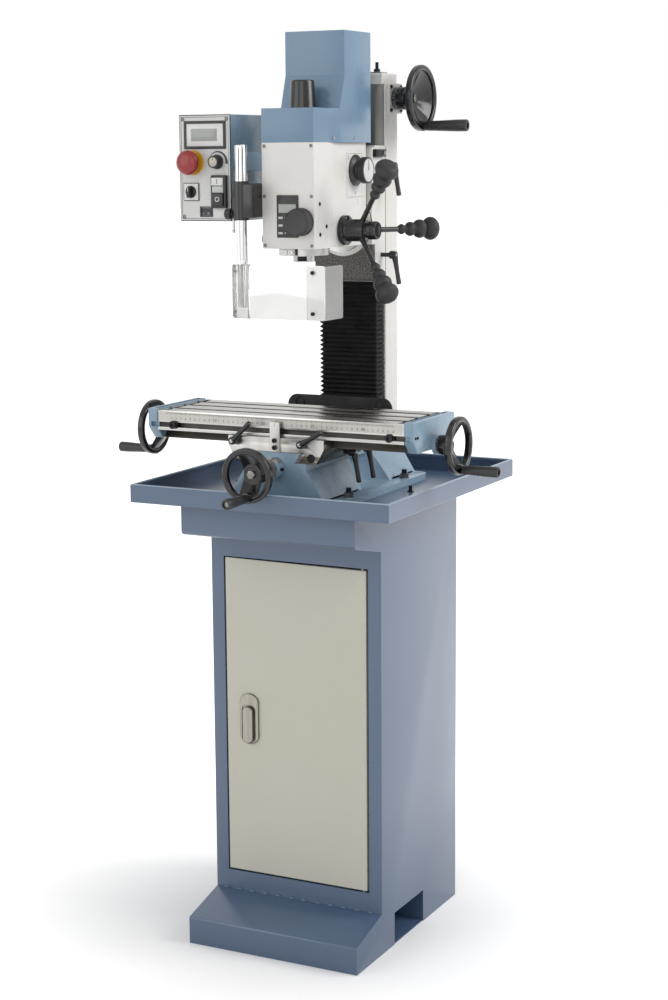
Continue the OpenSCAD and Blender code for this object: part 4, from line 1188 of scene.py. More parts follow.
@dataclass(frozen=True)
class Door:
    """Pressed door with its swing-handle lock.

    Attributes:
        front: Plane of its face.
        edge: Radius of the pressed edge.
        lock: Middle of the lock as (x, z).
        plate: Half width, half height and depth of the lock's housing.
        lever: Half width and the lowest and highest point of the swing handle.
        handle_y: Back and front of the swing handle, measured from the door's face.
    """

    front: float = -52
    edge: float = 1.4
    lock: tuple[float, float] = (-97, 422)
    plate: tuple[float, float, float] = (19.5, 49, 6)
    lever: tuple[float, float, float] = (10.5, -46, 25)
    handle_y: tuple[float, float] = (6.1, 13)

    def oval(self, half_w: float, low: float, high: float, depth: float) -> list[Point]:
        """Corners of an upright slot shape about the lock's middle, in front of the door.

        Args:
            half_w: Half the width of the slot shape.
            low: Its lower end, from the lock's middle.
            high: Its upper end, from the lock's middle.
            depth: How far it stands before the door's front.

        Returns:
            The corners in order.
        """
        x, z = self.lock
        squat = half_w * 0.8
        ends = []
        for middle, start in ((high - squat, 0), (low + squat, math.pi)):
            for i in range(11):
                turn = start + math.pi * i / 10
                ends.append((
                    x + half_w * math.cos(turn), self.front - depth,
                    z + middle + squat * math.sin(turn),
                ))
        return ends

    def bore(self, near_end: float, far_end: float, radius: float) -> Obj:
        """A round bar on the lock's axis between two distances behind the door's face."""
        x, z = self.lock
        return rod("bore", (x, self.front + near_end, z), (x, self.front + far_end, z), radius)

    def build(self) -> None:
        """Presses the panel's edge, then builds the lock's housing and its handle."""
        panel = node_copy("door", "door_panel")
        middle = Vector((self.lock[0], 0, self.lock[1]))
        in_face = in_plane(1, self.front)
        round_edges(
            panel, lambda a, b: in_face(a, b) and (a - middle).xz.length > 12, self.edge, 3
        )
        finish(cut(panel, self.bore(-1, 12, 9.9)), "door", DOOR_BEIGE, "door")
        half_w, half_h, deep = self.plate
        housing = prism("lock_housing", self.oval(half_w, -half_h, half_h, 0), (0, -deep, 0))
        pocket = prism(
            "pocket", self.oval(half_w - 4.5, -half_h + 1.6, half_h - 20, 3.2), (0, -8, 0)
        )
        round_edges(housing, in_plane(1, self.front - deep), 2.4)
        cut(housing, pocket, self.bore(-20, 1, 9.4))
        finish(housing, "door", BRUSHED_NICKEL, "lock_plate")
        back, face = self.handle_y
        handle = prism("swing_handle", self.oval(*self.lever, back), (0, back - face, 0))
        round_edges(handle, in_plane(1, self.front - face), 3)
        neck = self.bore(-2.9, -back - 0.2, 9)
        finish(joined([handle, neck]), "door_lock", BRUSHED_NICKEL)
        works = sliced(node_copy("lock_lever", "lock_works"), (0, self.front - 3.1, 0), FORWARD)
        finish(works, "door_lock", TURNED_STEEL, "lock_lever", slot="bright_chrome")


# ---------------------------------------------------------------- chip tray and base


@dataclass(frozen=True)
class ChipTray:
    """Sheet-steel tray with a hemmed rim.

    Attributes:
        half_width: Half of its width.
        y: Its front and its rear face.
        z: Its underside and the top of its rim.
        hem: Radius over the hem's outer edge.
        plug: (x, y) of the drain plug.
    """

    half_width: float = 260
    y: tuple[float, float] = (-194, 373)
    z: tuple[float, float] = (846, 880)
    hem: float = 2.4
    plug: tuple[float, float] = (160, 112)

    def outside(self, point: Vector) -> bool:
        """Whether a corner lies on the tray's outer walls."""
        return near(abs(point.x), self.half_width) or any(near(point.y, y) for y in self.y)

    def build(self) -> None:
        """Rolls the hem, rounds the folded edges and sets the drain plug."""
        low, high = self.z
        tray = round_edges(node_copy("chip_tray", "tray_sheet"), in_plane(2, high), self.hem)
        below = in_plane(2, low)
        round_edges(
            tray, lambda a, b: below(a, b) and self.outside(a) and self.outside(b), 1.8, 3
        )
        # The hem's top faces take the lighter blue: a painted highlight.
        painted(tray, lambda m, n: m.z > high - self.hem and n.z > 0.25)
        finish(tray, "frame", [STAND_BLUE, HEM_HIGHLIGHT_BLUE], "chip_tray")
        profile = [(0, 2), (6, 2), (6, 4), (3.4, 5), (3.4, 13.4), (2.8, 14), (0, 14)]
        plug = lathe("drain_plug", profile, (*self.plug, low), UP, 20)
        finish(plug, "frame", BLACK_OXIDE)


@dataclass(frozen=True)
class BaseCasting:
    """Hollow cast base with its ground cross ways and the cross feed's bearing.

    Attributes:
        way: Height of the ways' foot.
        pedestal: Where the column's pedestal starts.
        bearing_screw: Place of the screw beside the feed screw's bearing.
        stud_nut: Lower and upper end of the washers and nuts on its studs.
        studs: Distance of the studs from the middle, then the places of front and rear pair.
    """

    way: float = 926
    pedestal: float = 172
    bearing_screw: tuple[float, float, float] = (18.9, -133.5, 916)
    stud_nut: tuple[float, float] = (859, 869.2)
    studs: tuple[float, float, float] = (113, -52, 186)

    def close_stud_holes(self, casting: Obj) -> None:
        """Closes the stud holes, which the washers hide, so that the foot stays one face.

        Args:
            casting: The copy of the casting.
        """
        x, *rows = self.studs

        def in_hole(m: Vector, n: Vector) -> bool:
            """Whether a face is part of a stud hole's wall."""
            return min(math.hypot(abs(m.x) - x, m.y - y) for y in rows) < 7.5 and abs(n.z) < 0.3

        with editing(casting):
            pick(casting, Pick.FACES, in_hole)
            bpy.ops.mesh.delete(type="FACE")
            bpy.ops.mesh.select_mode(type="EDGE")
            bpy.ops.mesh.select_non_manifold()
            bpy.ops.mesh.fill_holes(sides=0)
            bpy.ops.mesh.select_all(action="SELECT")
            bpy.ops.mesh.dissolve_limited(angle_limit=FLAT)
        outward(casting)

    def build(self) -> None:
        """Softens the cast edges, parts off the ground faces and adds the bearing's screw."""
        casting = node_copy("base", "base_casting")
        self.close_stud_holes(casting)
        eased(casting, 1.6, 3, 28, clamp=True)
        painted(
            casting,
            lambda m, n: m.y < self.pedestal
            and (m.z > self.way + 0.3 or (m.z > self.way - 0.4 and n.z > 0.9)),
        )
        finish(casting, "frame", [CASTING_BLUE, GROUND_STEEL], "base")
        screw = SocketScrew(3.2, 5).build("bearing_screw", self.bearing_screw, RIGHT)
        finish(screw, "frame", BLACK_OXIDE)
        low, high = self.stud_nut
        studs = painted(node_copy("base_studs", "foundation_studs"), lambda m, n: low < m.z < high)
        looks = [BLACK_OXIDE, ZINC_STEEL]
        finish(studs, "frame", looks, "base_studs", slot="machined_iron")


# ---------------------------------------------------------------- saddle


@dataclass(frozen=True)
class Saddle:
    """Cross slide with its stop bracket.

    Attributes:
        front: Its front face.
        ground_z: Where the ground front face gives way to the cast underside.
        bracket: Half width, underside and top of the stop bracket.
        proud: How far the bracket stands off the saddle.
        screw_z: Heights of the bracket's two screws.
        cap: Place of the oil plug on the front, as (x, z).
    """

    front: float = -118
    ground_z: float = 940
    bracket: tuple[float, float, float] = (10, 944.3, 998)
    proud: float = 3
    screw_z: tuple[float, float] = (965, 952.5)
    cap: tuple[float, float] = (72, 936.5)

    def build(self) -> None:
        """Dresses the casting, then mounts the bracket, its screws and the oil plug."""
        casting = sliced(node_copy("saddle", "saddle_casting"), (0, 0, self.ground_z), UP, False)
        eased(casting, 0.8, 2, 50)
        painted(casting, lambda m, n: m.z > self.ground_z and (abs(n.y) > 0.5 or n.z > 0.9))
        looks = [OILED_IRON, GROUND_UPRIGHT]
        finish(casting, "saddle", looks, "saddle")
        half, low, high = self.bracket
        face = self.front - self.proud
        plate = block("stop_plate", (-half, face, low), (half, self.front, high))
        round_edges(plate, in_plane(1, face), 0.9, 3)
        finish(plate, "saddle", GROUND_UPRIGHT, "stop_bracket")
        line = block("pointer_line", (-0.4, face - 0.15, high - 9), (0.4, face + 0.3, high - 1))
        finish(eased(line, 0.05, 1), "saddle", BLACK_INK)
        screw = SocketScrew(4.4, 3.4)
        screws = [screw.build("stop_screws", (0, face, z), FORWARD) for z in self.screw_z]
        finish(joined(screws), "saddle", BLACK_OXIDE)
        x, z = self.cap
        profile = [(0, 0), (7.6, 0), (7.6, 1.6), (6.9, 2.4), (5.2, 2.6), (4.6, 2.0), (0, 2.0)]
        plug = lathe("oil_plug", profile, (x, self.front, z), FORWARD, 32)
        finish(plug, "saddle", BLACK_OXIDE)


@dataclass(frozen=True)
class ClampLevers:
    """Adjustable clamp levers: hub, leaning arm and the screw in its middle.

    Attributes:
        places: For each lever its body, which is also its CAD node, where its hub meets the
            piece it locks, which way its screw points, which way its arm leans out and how
            long its thread is.
        length: Length of the arm.
        lean: Angle between the arm and the screw in degrees.
    """

    places: tuple[tuple[str, Point, Point, Point, float], ...] = (
        ("x_lock_left", (-83, -118, 961), FORWARD, (0.7547, 0, 0.6561), 14),
        ("x_lock_right", (55, -118, 961), FORWARD, (0.8746, 0, 0.4848), 14),
        ("y_lock_front", (95, -10, 935), RIGHT, (0, 0, -1), 24),
        ("y_lock_rear", (95, 50, 935), RIGHT, (0, 0, -1), 24),
        ("z_lock_lower", (78, 200, 1281), RIGHT, (0, 0, -1), 26),
        ("z_lock_upper", (78, 200, 1446), RIGHT, (0, 0, -1), 26),
    )
    length: float = 56
    lean: float = 80

    def grip(self) -> Obj:
        """The moulded hub and arm of a lever on +Z, leaning to +X.

        Returns:
            The grip, with the middle of its hub at the origin.
        """
        profile = [
            (0, 0.3), (7.4, 0.3), (7.6, 4), (7.4, 9), (6.6, 13), (5.4, 14), (4.2, 14),
            (4.2, 12.4), (0, 12.4),
        ]
        hub = lathe("lever_grip", profile, (0, 0, 0), UP, 32)
        turn, reach = math.radians(self.lean), self.length
        profile = [
            (0, 3), (5.8, 3), (5.6, 8), (4.7, 18), (4.2, reach * 0.6), (4.4, reach * 0.85),
            (4.7, reach * 0.93), (4.2, reach * 0.98), (2.6, reach - 0.2), (0, reach),
        ]
        arm = lathe("arm", profile, (0, 0, 9), (math.sin(turn), 0, math.cos(turn)), 24)
        return joined([hub, arm])

    def build(self) -> None:
        """Moulds one lever with its screw and sets a copy at each place."""
        grip = self.grip()
        screw = CrossScrew(3.9).build("lever_screw", (0, 0, 12.4), UP)
        for body, place, axis, arm, stem in self.places:
            out, side = Vector(axis), Vector(arm)
            move = shift(*place) @ framed(side, out.cross(side), out)
            thread = rod("thread", Vector(place) + out, Vector(place) - out * stem, 4, 20)
            lever = joined([copied(grip, body + "_grip", move), thread])
            finish(lever, body, BLACK_ABS, body)
            finish(copied(screw, body + "_screw", move), body, TURNED_STEEL)
        for spare in (grip, screw):
            bpy.data.objects.remove(spare)


# ---------------------------------------------------------------- table


@dataclass(frozen=True)
class WorkTable:
    """Slotted work table with its ruler, its travel stops and its end brackets.

    Attributes:
        half_length: Half of its length.
        front: Its front face.
        top: Its working face.
        ruler: Half length, underside and top of the ruler.
        first: Place of the ruler's first line.
        stops: Places of the two travel stops along the front groove.
        groove_z: Middle of the groove.
        bracket_x: Outer face of an end bracket.
        way: Underside of the end brackets.
        axis: (y, z) of the feed screw.
    """

    half_length: float = 250
    front: float = -111
    top: float = 1006.5
    ruler: tuple[float, float, float] = (246, 988, 1004)
    first: float = -230
    stops: tuple[float, float] = (-217, 222)
    groove_z: float = 980.5
    bracket_x: float = 269
    way: float = 953
    axis: tuple[float, float] = (-21, 961)

    def build(self) -> None:
        """Grinds the table, then adds ruler, stops and brackets."""
        slab = eased(node_copy("table", "table_slab"), 0.6, 2, 40)
        # Faces set back behind the front, in the slots and below, take the dark iron: painted
        # shade.
        painted(slab, lambda m, n: n.y < -0.6 and m.y > self.front + 0.5)
        finish(slab, "table", [GROUND_STEEL, PAINTED_SHADE_IRON], "table")
        half, low, high = self.ruler
        strip = block("ruler_strip", (-half, self.front - 0.5, low), (half, self.front, high))
        finish(eased(strip, 0.15, 1), "table", ETCHED_SCALE)
        self.lines()
        self.figures()
        self.travel_stops()
        self.brackets()

    def lines(self) -> None:
        """Lays a line for each millimetre and a longer one for each ten."""
        face, top = self.front - 0.5, self.ruler[2] - 0.8

        def line(name: str, long: float, thick: float) -> Obj:
            """One line of the scale at its left end, hanging from the top edge."""
            mark = block(name, (-thick, face - 0.06, top - long), (thick, face + 0.1, top))
            eased(mark, 0.02, 1).data.transform(shift(x=self.first))
            return mark

        fine = row(line("fine_lines", 2.2, 0.16), [shift(x=i) for i in range(1, 10)])
        row(fine, [shift(x=10 * i) for i in range(1, 46)])
        coarse = row(line("coarse_lines", 4.4, 0.22), [shift(x=10 * i) for i in range(1, 47)])
        finish(joined([fine, coarse]), "table", BLACK_INK)

    def figures(self) -> None:
        """Lays the digits over the lines, with larger numbers at every hundred."""
        upright = Matrix.Rotation(math.pi / 2, 4, "X")
        figures = []
        for digit in range(10):
            place = shift(self.first + 10 * digit, self.front - 0.51, self.ruler[1] + 4.6) @ upright
            if digit:
                figure = lettered("figures", str(digit), 4.2, place, 0.1)
                figures.append(row(figure, [shift(x=100 * i) for i in range(1, 5 - digit // 7)]))
                continue
            for i in range(1, 5):
                ahead = shift(x=100 * i + 1.6, z=0.4) @ place
                figures.append(lettered("tens", str(10 * i), 6, ahead, 0.1))
        finish(joined(figures), "table", BLACK_INK)

    def travel_stops(self) -> None:
        """Sets the two clamped stops into the groove."""
        stops = []
        for x in self.stops:
            at = (x, self.front - 0.2, self.groove_z)
            stops.append(SocketScrew(7.4, 5).build("travel_stops", at, FORWARD))
            low = (x - 9, self.front + 0.4, self.groove_z - 4.2)
            high = (x + 9, self.front + 7, self.groove_z + 4.2)
            stops.append(eased(block("t_nut", low, high), 0.5))
        finish(joined(stops), "table", BLACK_OXIDE)

    def brackets(self) -> None:
        """Casts one end bracket with its trough, notch and boss, and mirrors it to the left."""
        front, back, top, low = self.front - 2, self.front + 176, self.top + 3, self.groove_z - 4.5
        inner, thick, (y, z) = self.half_length, self.bracket_x - self.half_length, self.axis
        outline = [
            (front, top), (front, low), (front + 20, self.way), (back - 30, self.way),
            (back, low), (back, top),
        ]
        plate = prism("bracket_castings", [(inner, a, b) for a, b in outline], (thick, 0, 0))
        cut(
            eased(plate, 1.4, 3, 30),
            block("trough", (inner + 1.5, front + 9, top - 10), (inner + 12, back - 9, top + 1)),
            block("notch", (inner - 1, front - 1, low), (inner + 13, front + 8, low + 9)),
            rod("bore", (inner - 1, y, z), (inner + thick + 1, y, z), 6.3),
        )
        profile = [(6.3, 0), (17, 0), (17, 6.4), (15.6, 7.8), (6.3, 7.8), (6.3, 0)]
        boss = lathe("boss", profile, (self.bracket_x - 0.05, y, z), RIGHT)
        # The trough's inner faces take the dark iron: painted shade in the recess.
        right = painted(
            joined([plate, boss]),
            lambda m, n: top - 10.2 < m.z < top - 0.1 and inner + 1.4 < m.x < inner + 12.1
            and front + 8.9 < m.y < back - 8.9,
        )
        left = outward(copied(right, "left_bracket", Matrix.Scale(-1, 4, RIGHT)))
        finish(joined([right, left]), "table", [CASTING_BLUE, PAINTED_SHADE_IRON], "end_brackets")
        at = (self.bracket_x, self.front + 6, self.groove_z + 1)
        screw = row(SocketScrew(2.6, 1.6).build("bracket_screws", at, RIGHT), [shift(y=9)])
        half_turn = about((0, 0, 0), UP, 180) @ shift(y=-2 * (self.front + 10.5))
        finish(row(screw, [half_turn]), "table", BLACK_OXIDE)


# ---------------------------------------------------------------- handwheels


@dataclass(frozen=True)
class Handwheel:
    """Cast handwheel with its dial, nut and revolving handle.

    Attributes:
        name: Start of its pieces' names.
        body: The body the wheel turns with.
        handle_body: The body of its handle, which is also the handle's CAD node.
        centre: Middle of the rim.
        axis: Which way the handle points.
        radius: Outer radius of the rim.
        grip: Radius and length of the handle.
        dial: Radius, near end and far end of the dial, measured back from the rim.
        marks: Lines on the dial.
    """

    name: str
    body: str
    handle_body: str
    centre: Point
    axis: Point
    radius: float
    grip: tuple[float, float]
    dial: tuple[float, float, float]
    marks: int = 40

    @property
    def seat(self) -> Vector:
        """Where the handle's axis crosses the rim's middle plane."""
        return Vector(self.centre) - Vector((0, 0, self.radius - 9.5))

    def depth_and_reach(self, point: Vector, foot: Point) -> tuple[float, float]:
        """How far a point lies from a foot along the wheel's direction, and beside it.

        Args:
            point: The point to measure.
            foot: A point on the wheel's axis or on one beside it.

        Returns:
            The distance along the axis and the distance from it.
        """
        away = point - Vector(foot)
        depth = away.dot(Vector(self.axis))
        return depth, (away - Vector(self.axis) * depth).length

    def dress(self, casting: Obj, *nodes: str) -> None:
        """Parts the nut, the handle's bolt and the dial off the enamelled wheel.

        Args:
            casting: The shaped wheel.
            nodes: The CAD nodes that it replaces.
        """
        dial_radius, close, _ = self.dial

        def is_bright(middle: Vector, normal: Vector) -> bool:
            """Whether a face belongs to the nut or to the handle's bolt."""
            depth, reach = self.depth_and_reach(middle, self.centre)
            beside = self.depth_and_reach(middle, self.seat)[1]
            return (reach < 8.6 and -17.9 < depth < -10.5) or (beside < 5.3 and depth > 6.9)

        def on_dial(middle: Vector, normal: Vector) -> bool:
            """Whether a face belongs to the dial."""
            depth, reach = self.depth_and_reach(middle, self.centre)
            return depth < 0.05 - close and reach > dial_radius - 4

        painted(casting, is_bright, on_dial)
        looks = [BLACK_ENAMEL, ZINC_STEEL, BLACK_OXIDE]
        finish(casting, self.body, looks, *nodes)

    def scale(self) -> None:
        """Lays the dial's lines round its rim, every fifth one longer."""
        radius, close, far = self.dial
        along = Vector(self.axis)
        side = along.orthogonal().normalized()
        start = Vector(self.centre) - along * (far - 0.6) + side * (radius - 0.3)
        lines = []
        for name, share, count in (
            (self.name + "_lines", 0.4, self.marks), ("long_lines", 0.66, self.marks // 5),
        ):
            mark = block(name, (-0.16, -0.16, 0), (0.16, 0.5, (far - close) * share))
            mark.data.transform(shift(*start) @ framed(along.cross(side), side, along))
            lines.append(row(mark, ring_of(self.centre, along, count)))
        finish(eased(joined(lines), 0.02, 1), self.body, WHITE_FILM)

    def handle(self) -> None:
        """Turns the waisted grip with the pocket of its bolt."""
        r, long = self.grip
        profile = [
            (3.05, 0), (r * 0.70, 0), (r * 0.74, 0.5), (r * 0.78, 3), (r * 0.83, long * 0.14),
            (r * 0.86, long * 0.3), (r * 0.9, long * 0.45), (r * 0.96, long * 0.62),
            (r, long * 0.78), (r, long - 3), (r - 0.4, long - 1.4), (r - 1.2, long - 0.4),
            (r - 2.4, long), (5.6, long), (5.6, long - 6), (3.05, long - 6), (3.05, 0),
        ]
        foot = self.seat + Vector(self.axis) * 6.8
        grip = lathe(self.name + "_grip", profile, foot, self.axis, 40)
        finish(grip, self.handle_body, BLACK_ABS, self.handle_body)


@dataclass(frozen=True)
class Handwheels:
    """The four handwheels of the machine.

    Attributes:
        cross: The cross feed's wheel.
        right: The table feed's right wheel.
        left: The table feed's left wheel.
        column: The column's wheel.
    """

    cross: Handwheel = Handwheel(
        "cross_wheel", "cross_screw", "y_handle", (0, -222, 916), FORWARD, 49, (9.5, 70),
        (19, 36, 73.7), 50,
    )
    right: Handwheel = Handwheel(
        "right_wheel", "table_screw", "x_handle_right", (314, -21, 961), RIGHT, 52, (9.5, 70),
        (17, 30, 36.7),
    )
    left: Handwheel = Handwheel(
        "left_wheel", "table_screw", "x_handle_left", (-314, -21, 961), LEFT, 52, (9.5, 70),
        (17, 30, 36.7),
    )
    column: Handwheel = Handwheel(
        "column_wheel", "raise_wheel", "z_handle", (118, 252, 1571), RIGHT, 61, (11, 88),
        (21, 32, 51.7), 50,
    )

    def build(self) -> None:
        """Dresses the castings and makes each wheel's handle and scale."""
        for wheel, node in ((self.cross, "y_wheel"), (self.column, "z_wheel")):
            wheel.dress(eased(node_copy(node, wheel.name + "_casting"), 0.25, 2, 40), node)
            wheel.scale()
            wheel.handle()
        right = eased(node_copy("x_wheels", "table_wheel_castings"), 0.25, 2, 40)
        left = sliced(copied(right, "left_wheel_casting", shift()), (0, 0, 0), RIGHT)
        self.right.dress(sliced(right, (0, 0, 0), LEFT), "x_wheels")
        self.left.dress(left)
        for wheel in (self.right, self.left):
            wheel.scale()
            wheel.handle()


# ---------------------------------------------------------------- column and carriage


@dataclass(frozen=True)
class Column:
    """Box column with its dovetail, its cap, the raising shaft's bearing and a top stud.

    Attributes:
        half_width: Half of its width.
        ways: Where the dovetail stands off the column's front.
        cap_top: The top of the cap.
        bearing: The bearing flange's outer face and the (y, z) of its middle.
        bolt_square: Half the spacing of the flange's screws.
        stud: Place of the stud on the cap.
    """

    half_width: float = 60
    ways: float = 218
    cap_top: float = 1617
    bearing: tuple[float, float, float] = (66, 252, 1571)
    bolt_square: float = 21.5
    stud: tuple[float, float] = (42, 212)

    def is_corner(self, a: Vector, b: Vector) -> bool:
        """Whether an edge is one of the painted column's upright corners."""
        upright = near(a.x, b.x) and near(a.y, b.y) and abs(a.z - b.z) > 50
        return upright and near(abs(a.x), self.half_width) and a.y > self.ways - 1

    def build(self) -> None:
        """Rounds the painted corners, grinds the ways and fits the small parts."""
        column = round_edges(node_copy("column", "column_casting"), self.is_corner, 2.5, 3)
        painted(column, lambda m, n: m.y < self.ways + 0.3 and abs(m.x) < 56)
        finish(column, "frame", [WARM_WHITE, GROUND_UPRIGHT], "column")
        cap = round_edges(node_copy("column_cap", "cap_casting"), in_plane(2, self.cap_top), 3)
        finish(round_edges(cap, along_axis(2), 2, 3), "frame", WARM_WHITE, "column_cap")
        flange = eased(node_copy("z_bearing", "bearing_flange"), 1.2, 3, 50)
        finish(flange, "frame", WARM_WHITE, "z_bearing")
        face, y, z = self.bearing
        square = self.bolt_square
        at = (face, y - square, z - square)
        screw = SocketScrew(3.4, 2.6).build("flange_screws", at, RIGHT)
        moves = corner_moves((0, 2 * square, 0), (0, 0, 2 * square))
        finish(row(screw, moves), "frame", BLACK_OXIDE)
        self.top_stud()

    def top_stud(self) -> None:
        """Stands the stud and its thin lock plate on the cap."""
        (x, y), top = self.stud, self.cap_top
        plate = block("stud_plate", (x - 14, y - 2, top), (x + 14, y + 24, top + 2.5))
        finish(eased(plate, 0.8), "frame", TURNED_STEEL)
        profile = [(0, 0), (6, 0), (6, 5), (5.4, 5.6), (3.2, 5.6), (3.2, 17.4), (2.6, 18), (0, 18)]
        stud = lathe("top_stud", profile, (x, y + 8, top + 2.5), UP, 24)
        finish(stud, "frame", BLACK_OXIDE)


@dataclass(frozen=True)
class WayCovers:
    """Bellows over the column's ways and the rubber apron over the cross ways.

    Attributes:
        half_width: Half of the bellows' width over its ridges.
        front: The ridges' front.
        back: Where the folds end beside the column.
        low: Foot of the bellows.
        high: Its top under the column's saddle.
        folds: How many ridges.
        fold: How deep a fold is.
        fixed_to: Where the stretch starts and ends, in metres; not used.
        arch: How far from the middle an arch stands, the apron's front, the arch's foot and
            the middle of its top, and its outer and inner radius.
    """

    half_width: float = 60
    front: float = 177
    back: float = 210
    low: float = 1012
    high: float = 1231.7
    folds: int = 25
    fold: float = 5
    fixed_to: tuple[float, float] = (0.972, 1.272)
    arch: tuple[float, ...] = (84, 137, 964, 1001, 9.5, 7.5)

    def build(self) -> None:
        """Folds the bellows and hangs the apron."""
        self.bellows()
        self.apron()

    def bellows(self) -> None:
        """Extrudes a three-sided outline upwards, drawing every second step in."""
        half, deep = self.half_width, self.back - self.front
        inner = (half - self.fold) / half, (deep - self.fold) / deep, 1
        outer = tuple(1 / share for share in inner)
        steps = 2 * self.folds
        rise = metres((0, 0, (self.high - self.low) / steps))
        outline = [(-half, self.back), (-half, self.front), (half, self.front), (half, self.back)]
        folds = drawn("way_bellows", [(*corner, self.low) for corner in outline])
        with editing(folds, Pick.VERTS):
            for level in range(steps):
                bpy.ops.mesh.extrude_region_move(TRANSFORM_OT_translate={"value": rise})
                bpy.ops.transform.resize(
                    value=outer if level % 2 else inner,
                    center_override=metres((0, self.back, 0)),
                )
        outward(apply_modifier(folds, "SOLIDIFY", thickness=1.1 * MM, offset=1.0))
        finish(folds, None, BLACK_RUBBER, "bellows", angle=20)
        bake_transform(folds)

    def apron(self) -> None:
        """Shapes the apron's sheet with its rounded corners, its shelf and two pressed arches."""
        sheet = eased(node_copy("way_cover", "apron_sheet"), 0.9, 2, 40)
        apart, face, foot, top, outer, inner = self.arch
        arches = []
        for x in (-apart, apart):
            outline = []
            for radius, turns, end in ((outer, range(13), -1), (inner, range(12, -1, -1), 1)):
                for turn in (math.pi * i / 12 for i in turns):
                    over = top + 1.3 * radius * math.sin(turn)
                    outline.append((x + radius * math.cos(turn), face, over))
                outline.append((x + end * radius, face, foot))
            outline.append((x + outer, face, foot))
            arches.append(prism("pressed_arches", outline, (0, -1.1, 0)))
        finish(joined([sheet, *arches]), "frame", BLACK_RUBBER, "way_cover")


@dataclass(frozen=True)
class Carriage:
    """Saddle on the column, with the swivel plate and its graduated ring.

    Attributes:
        swivel: Height of the swivel axis.
        ring: Radius and front face of the graduated ring.
        plate: Front face of the swivel plate.
        stop: Low and high corner of the travel block on the right side.
        gib: Low and high corner of the gib's edge on the right side.
        cast_top: Below this the carriage's front is dark grey, painted shade under the swivel
            plate; above it the sides are painted.
        strip: How far from the middle the painted strips start.
    """

    swivel: float = 1340
    ring: tuple[float, float] = (60, 155)
    plate: float = 159
    stop: tuple[Point, Point] = ((60, 163, 1463), (67, 208, 1477))
    gib: tuple[Point, Point] = ((59, 216.6, 1236), (60.3, 217.8, 1480))
    cast_top: float = 1302
    strip: float = 46

    def build(self) -> None:
        """Dresses the castings, engraves the ring and fits the travel block."""
        saddle = eased(node_copy("z_saddle", "carriage_casting"), 1, 3, 50)
        sliced(saddle, (0, 0, self.cast_top), UP, False)
        # The second test darkens the carriage's front below the swivel plate with cast grey:
        # painted shade.
        painted(
            saddle,
            lambda m, n: m.y > 190 and abs(m.x) < 55,
            lambda m, n: n.y < -0.8 and m.y < 180 and m.z < self.cast_top,
        )
        finish(saddle, "carriage", [WARM_WHITE, GROUND_UPRIGHT, CAST_IRON], "z_saddle")
        finish(eased(block("gib_edge", *self.gib), 0.1, 1), "carriage", BLACK_OXIDE)
        self.swivel_plate()
        finish(eased(block("travel_block", *self.stop), 1, 3), "carriage", BLACK_OXIDE)
        (_, _, low), (x, y, high) = self.stop
        screw = SocketScrew(3.6, 2.4).build("travel_screw", (x, y - 9, (low + high) / 2), RIGHT)
        finish(screw, "carriage", TURNED_STEEL)

    def swivel_plate(self) -> None:
        """Parts the painted strips and the dark rim off the plate and engraves its ring."""
        radius, face = self.ring
        plate = eased(node_copy("swivel_plate", "swivel_casting"), 0.7, 2, 50)
        sliced(plate, (0, 0, self.cast_top), UP, False)
        for x in (self.strip, -self.strip):
            sliced(plate, (x, 0, 0), RIGHT, False)

        def on_rim(m: Vector, n: Vector) -> bool:
            """Whether a face is on the ring's round side."""
            away = math.hypot(m.x, m.z - self.swivel)
            return m.y < self.plate and away > radius - 1 and abs(n.y) < 0.9

        def on_strip(m: Vector, n: Vector) -> bool:
            """Whether a face is painted, beside the head."""
            return m.y > self.plate - 0.1 and m.z > self.cast_top and abs(m.x) > self.strip

        painted(plate, lambda m, n: m.y < self.plate - 0.1, on_rim, on_strip)
        looks = [CAST_IRON, GROUND_UPRIGHT, BLACK_OXIDE, WARM_WHITE]
        finish(plate, "carriage", looks, "swivel_plate")
        foot = self.swivel - radius
        line = block("swivel_lines", (-0.2, face - 0.08, foot + 1.5), (0.2, face + 0.3, foot + 5))
        centre = (0, face, self.swivel)
        turns = [about(centre, (0, 1, 0), 3 * i) for i in range(-15, 16) if i]
        finish(row(eased(line, 0.04, 1), turns), "carriage", BLACK_INK)


@dataclass(frozen=True)
class Spindle:
    """Quill and spindle nose, ground bright.

    Attributes:
        nose: Radius, underside and top of the nose.
        slot: Half width, height and turn in degrees of the driving slot.
    """

    nose: tuple[float, float] = (20, 1277)
    slot: tuple[float, float, float] = (8.5, 10, 16)

    def build(self) -> None:
        """Breaks the edges of both turned parts, mills the driving slot and sets its key."""
        quill = eased(node_copy("quill", "quill_body"), 0.5, 2, 50)
        finish(quill, "quill", TURNED_STEEL, "quill")
        nose = node_copy("spindle", "spindle_body")
        radius, low = self.nose
        half, tall, turn = self.slot
        seat = about((0, 0, 0), UP, turn)
        for y in (-12, 12):
            slot = block("slot", (-half, y - 10, low - 2), (half, y + 10, low + tall))
            slot.data.transform(seat)
            cut(nose, slot)
        finish(nose, "spindle", TURNED_STEEL, "spindle")
        half -= 0.2
        key = block("drive_keys", (-half, 2.4, low + 0.6), (half, radius - 2, low + tall - 0.2))
        row(eased(key, 0.5), ring_of((0, 0, 0), UP, 2)).data.transform(seat)
        finish(key, "spindle", BLACK_OXIDE)


# ---------------------------------------------------------------- head


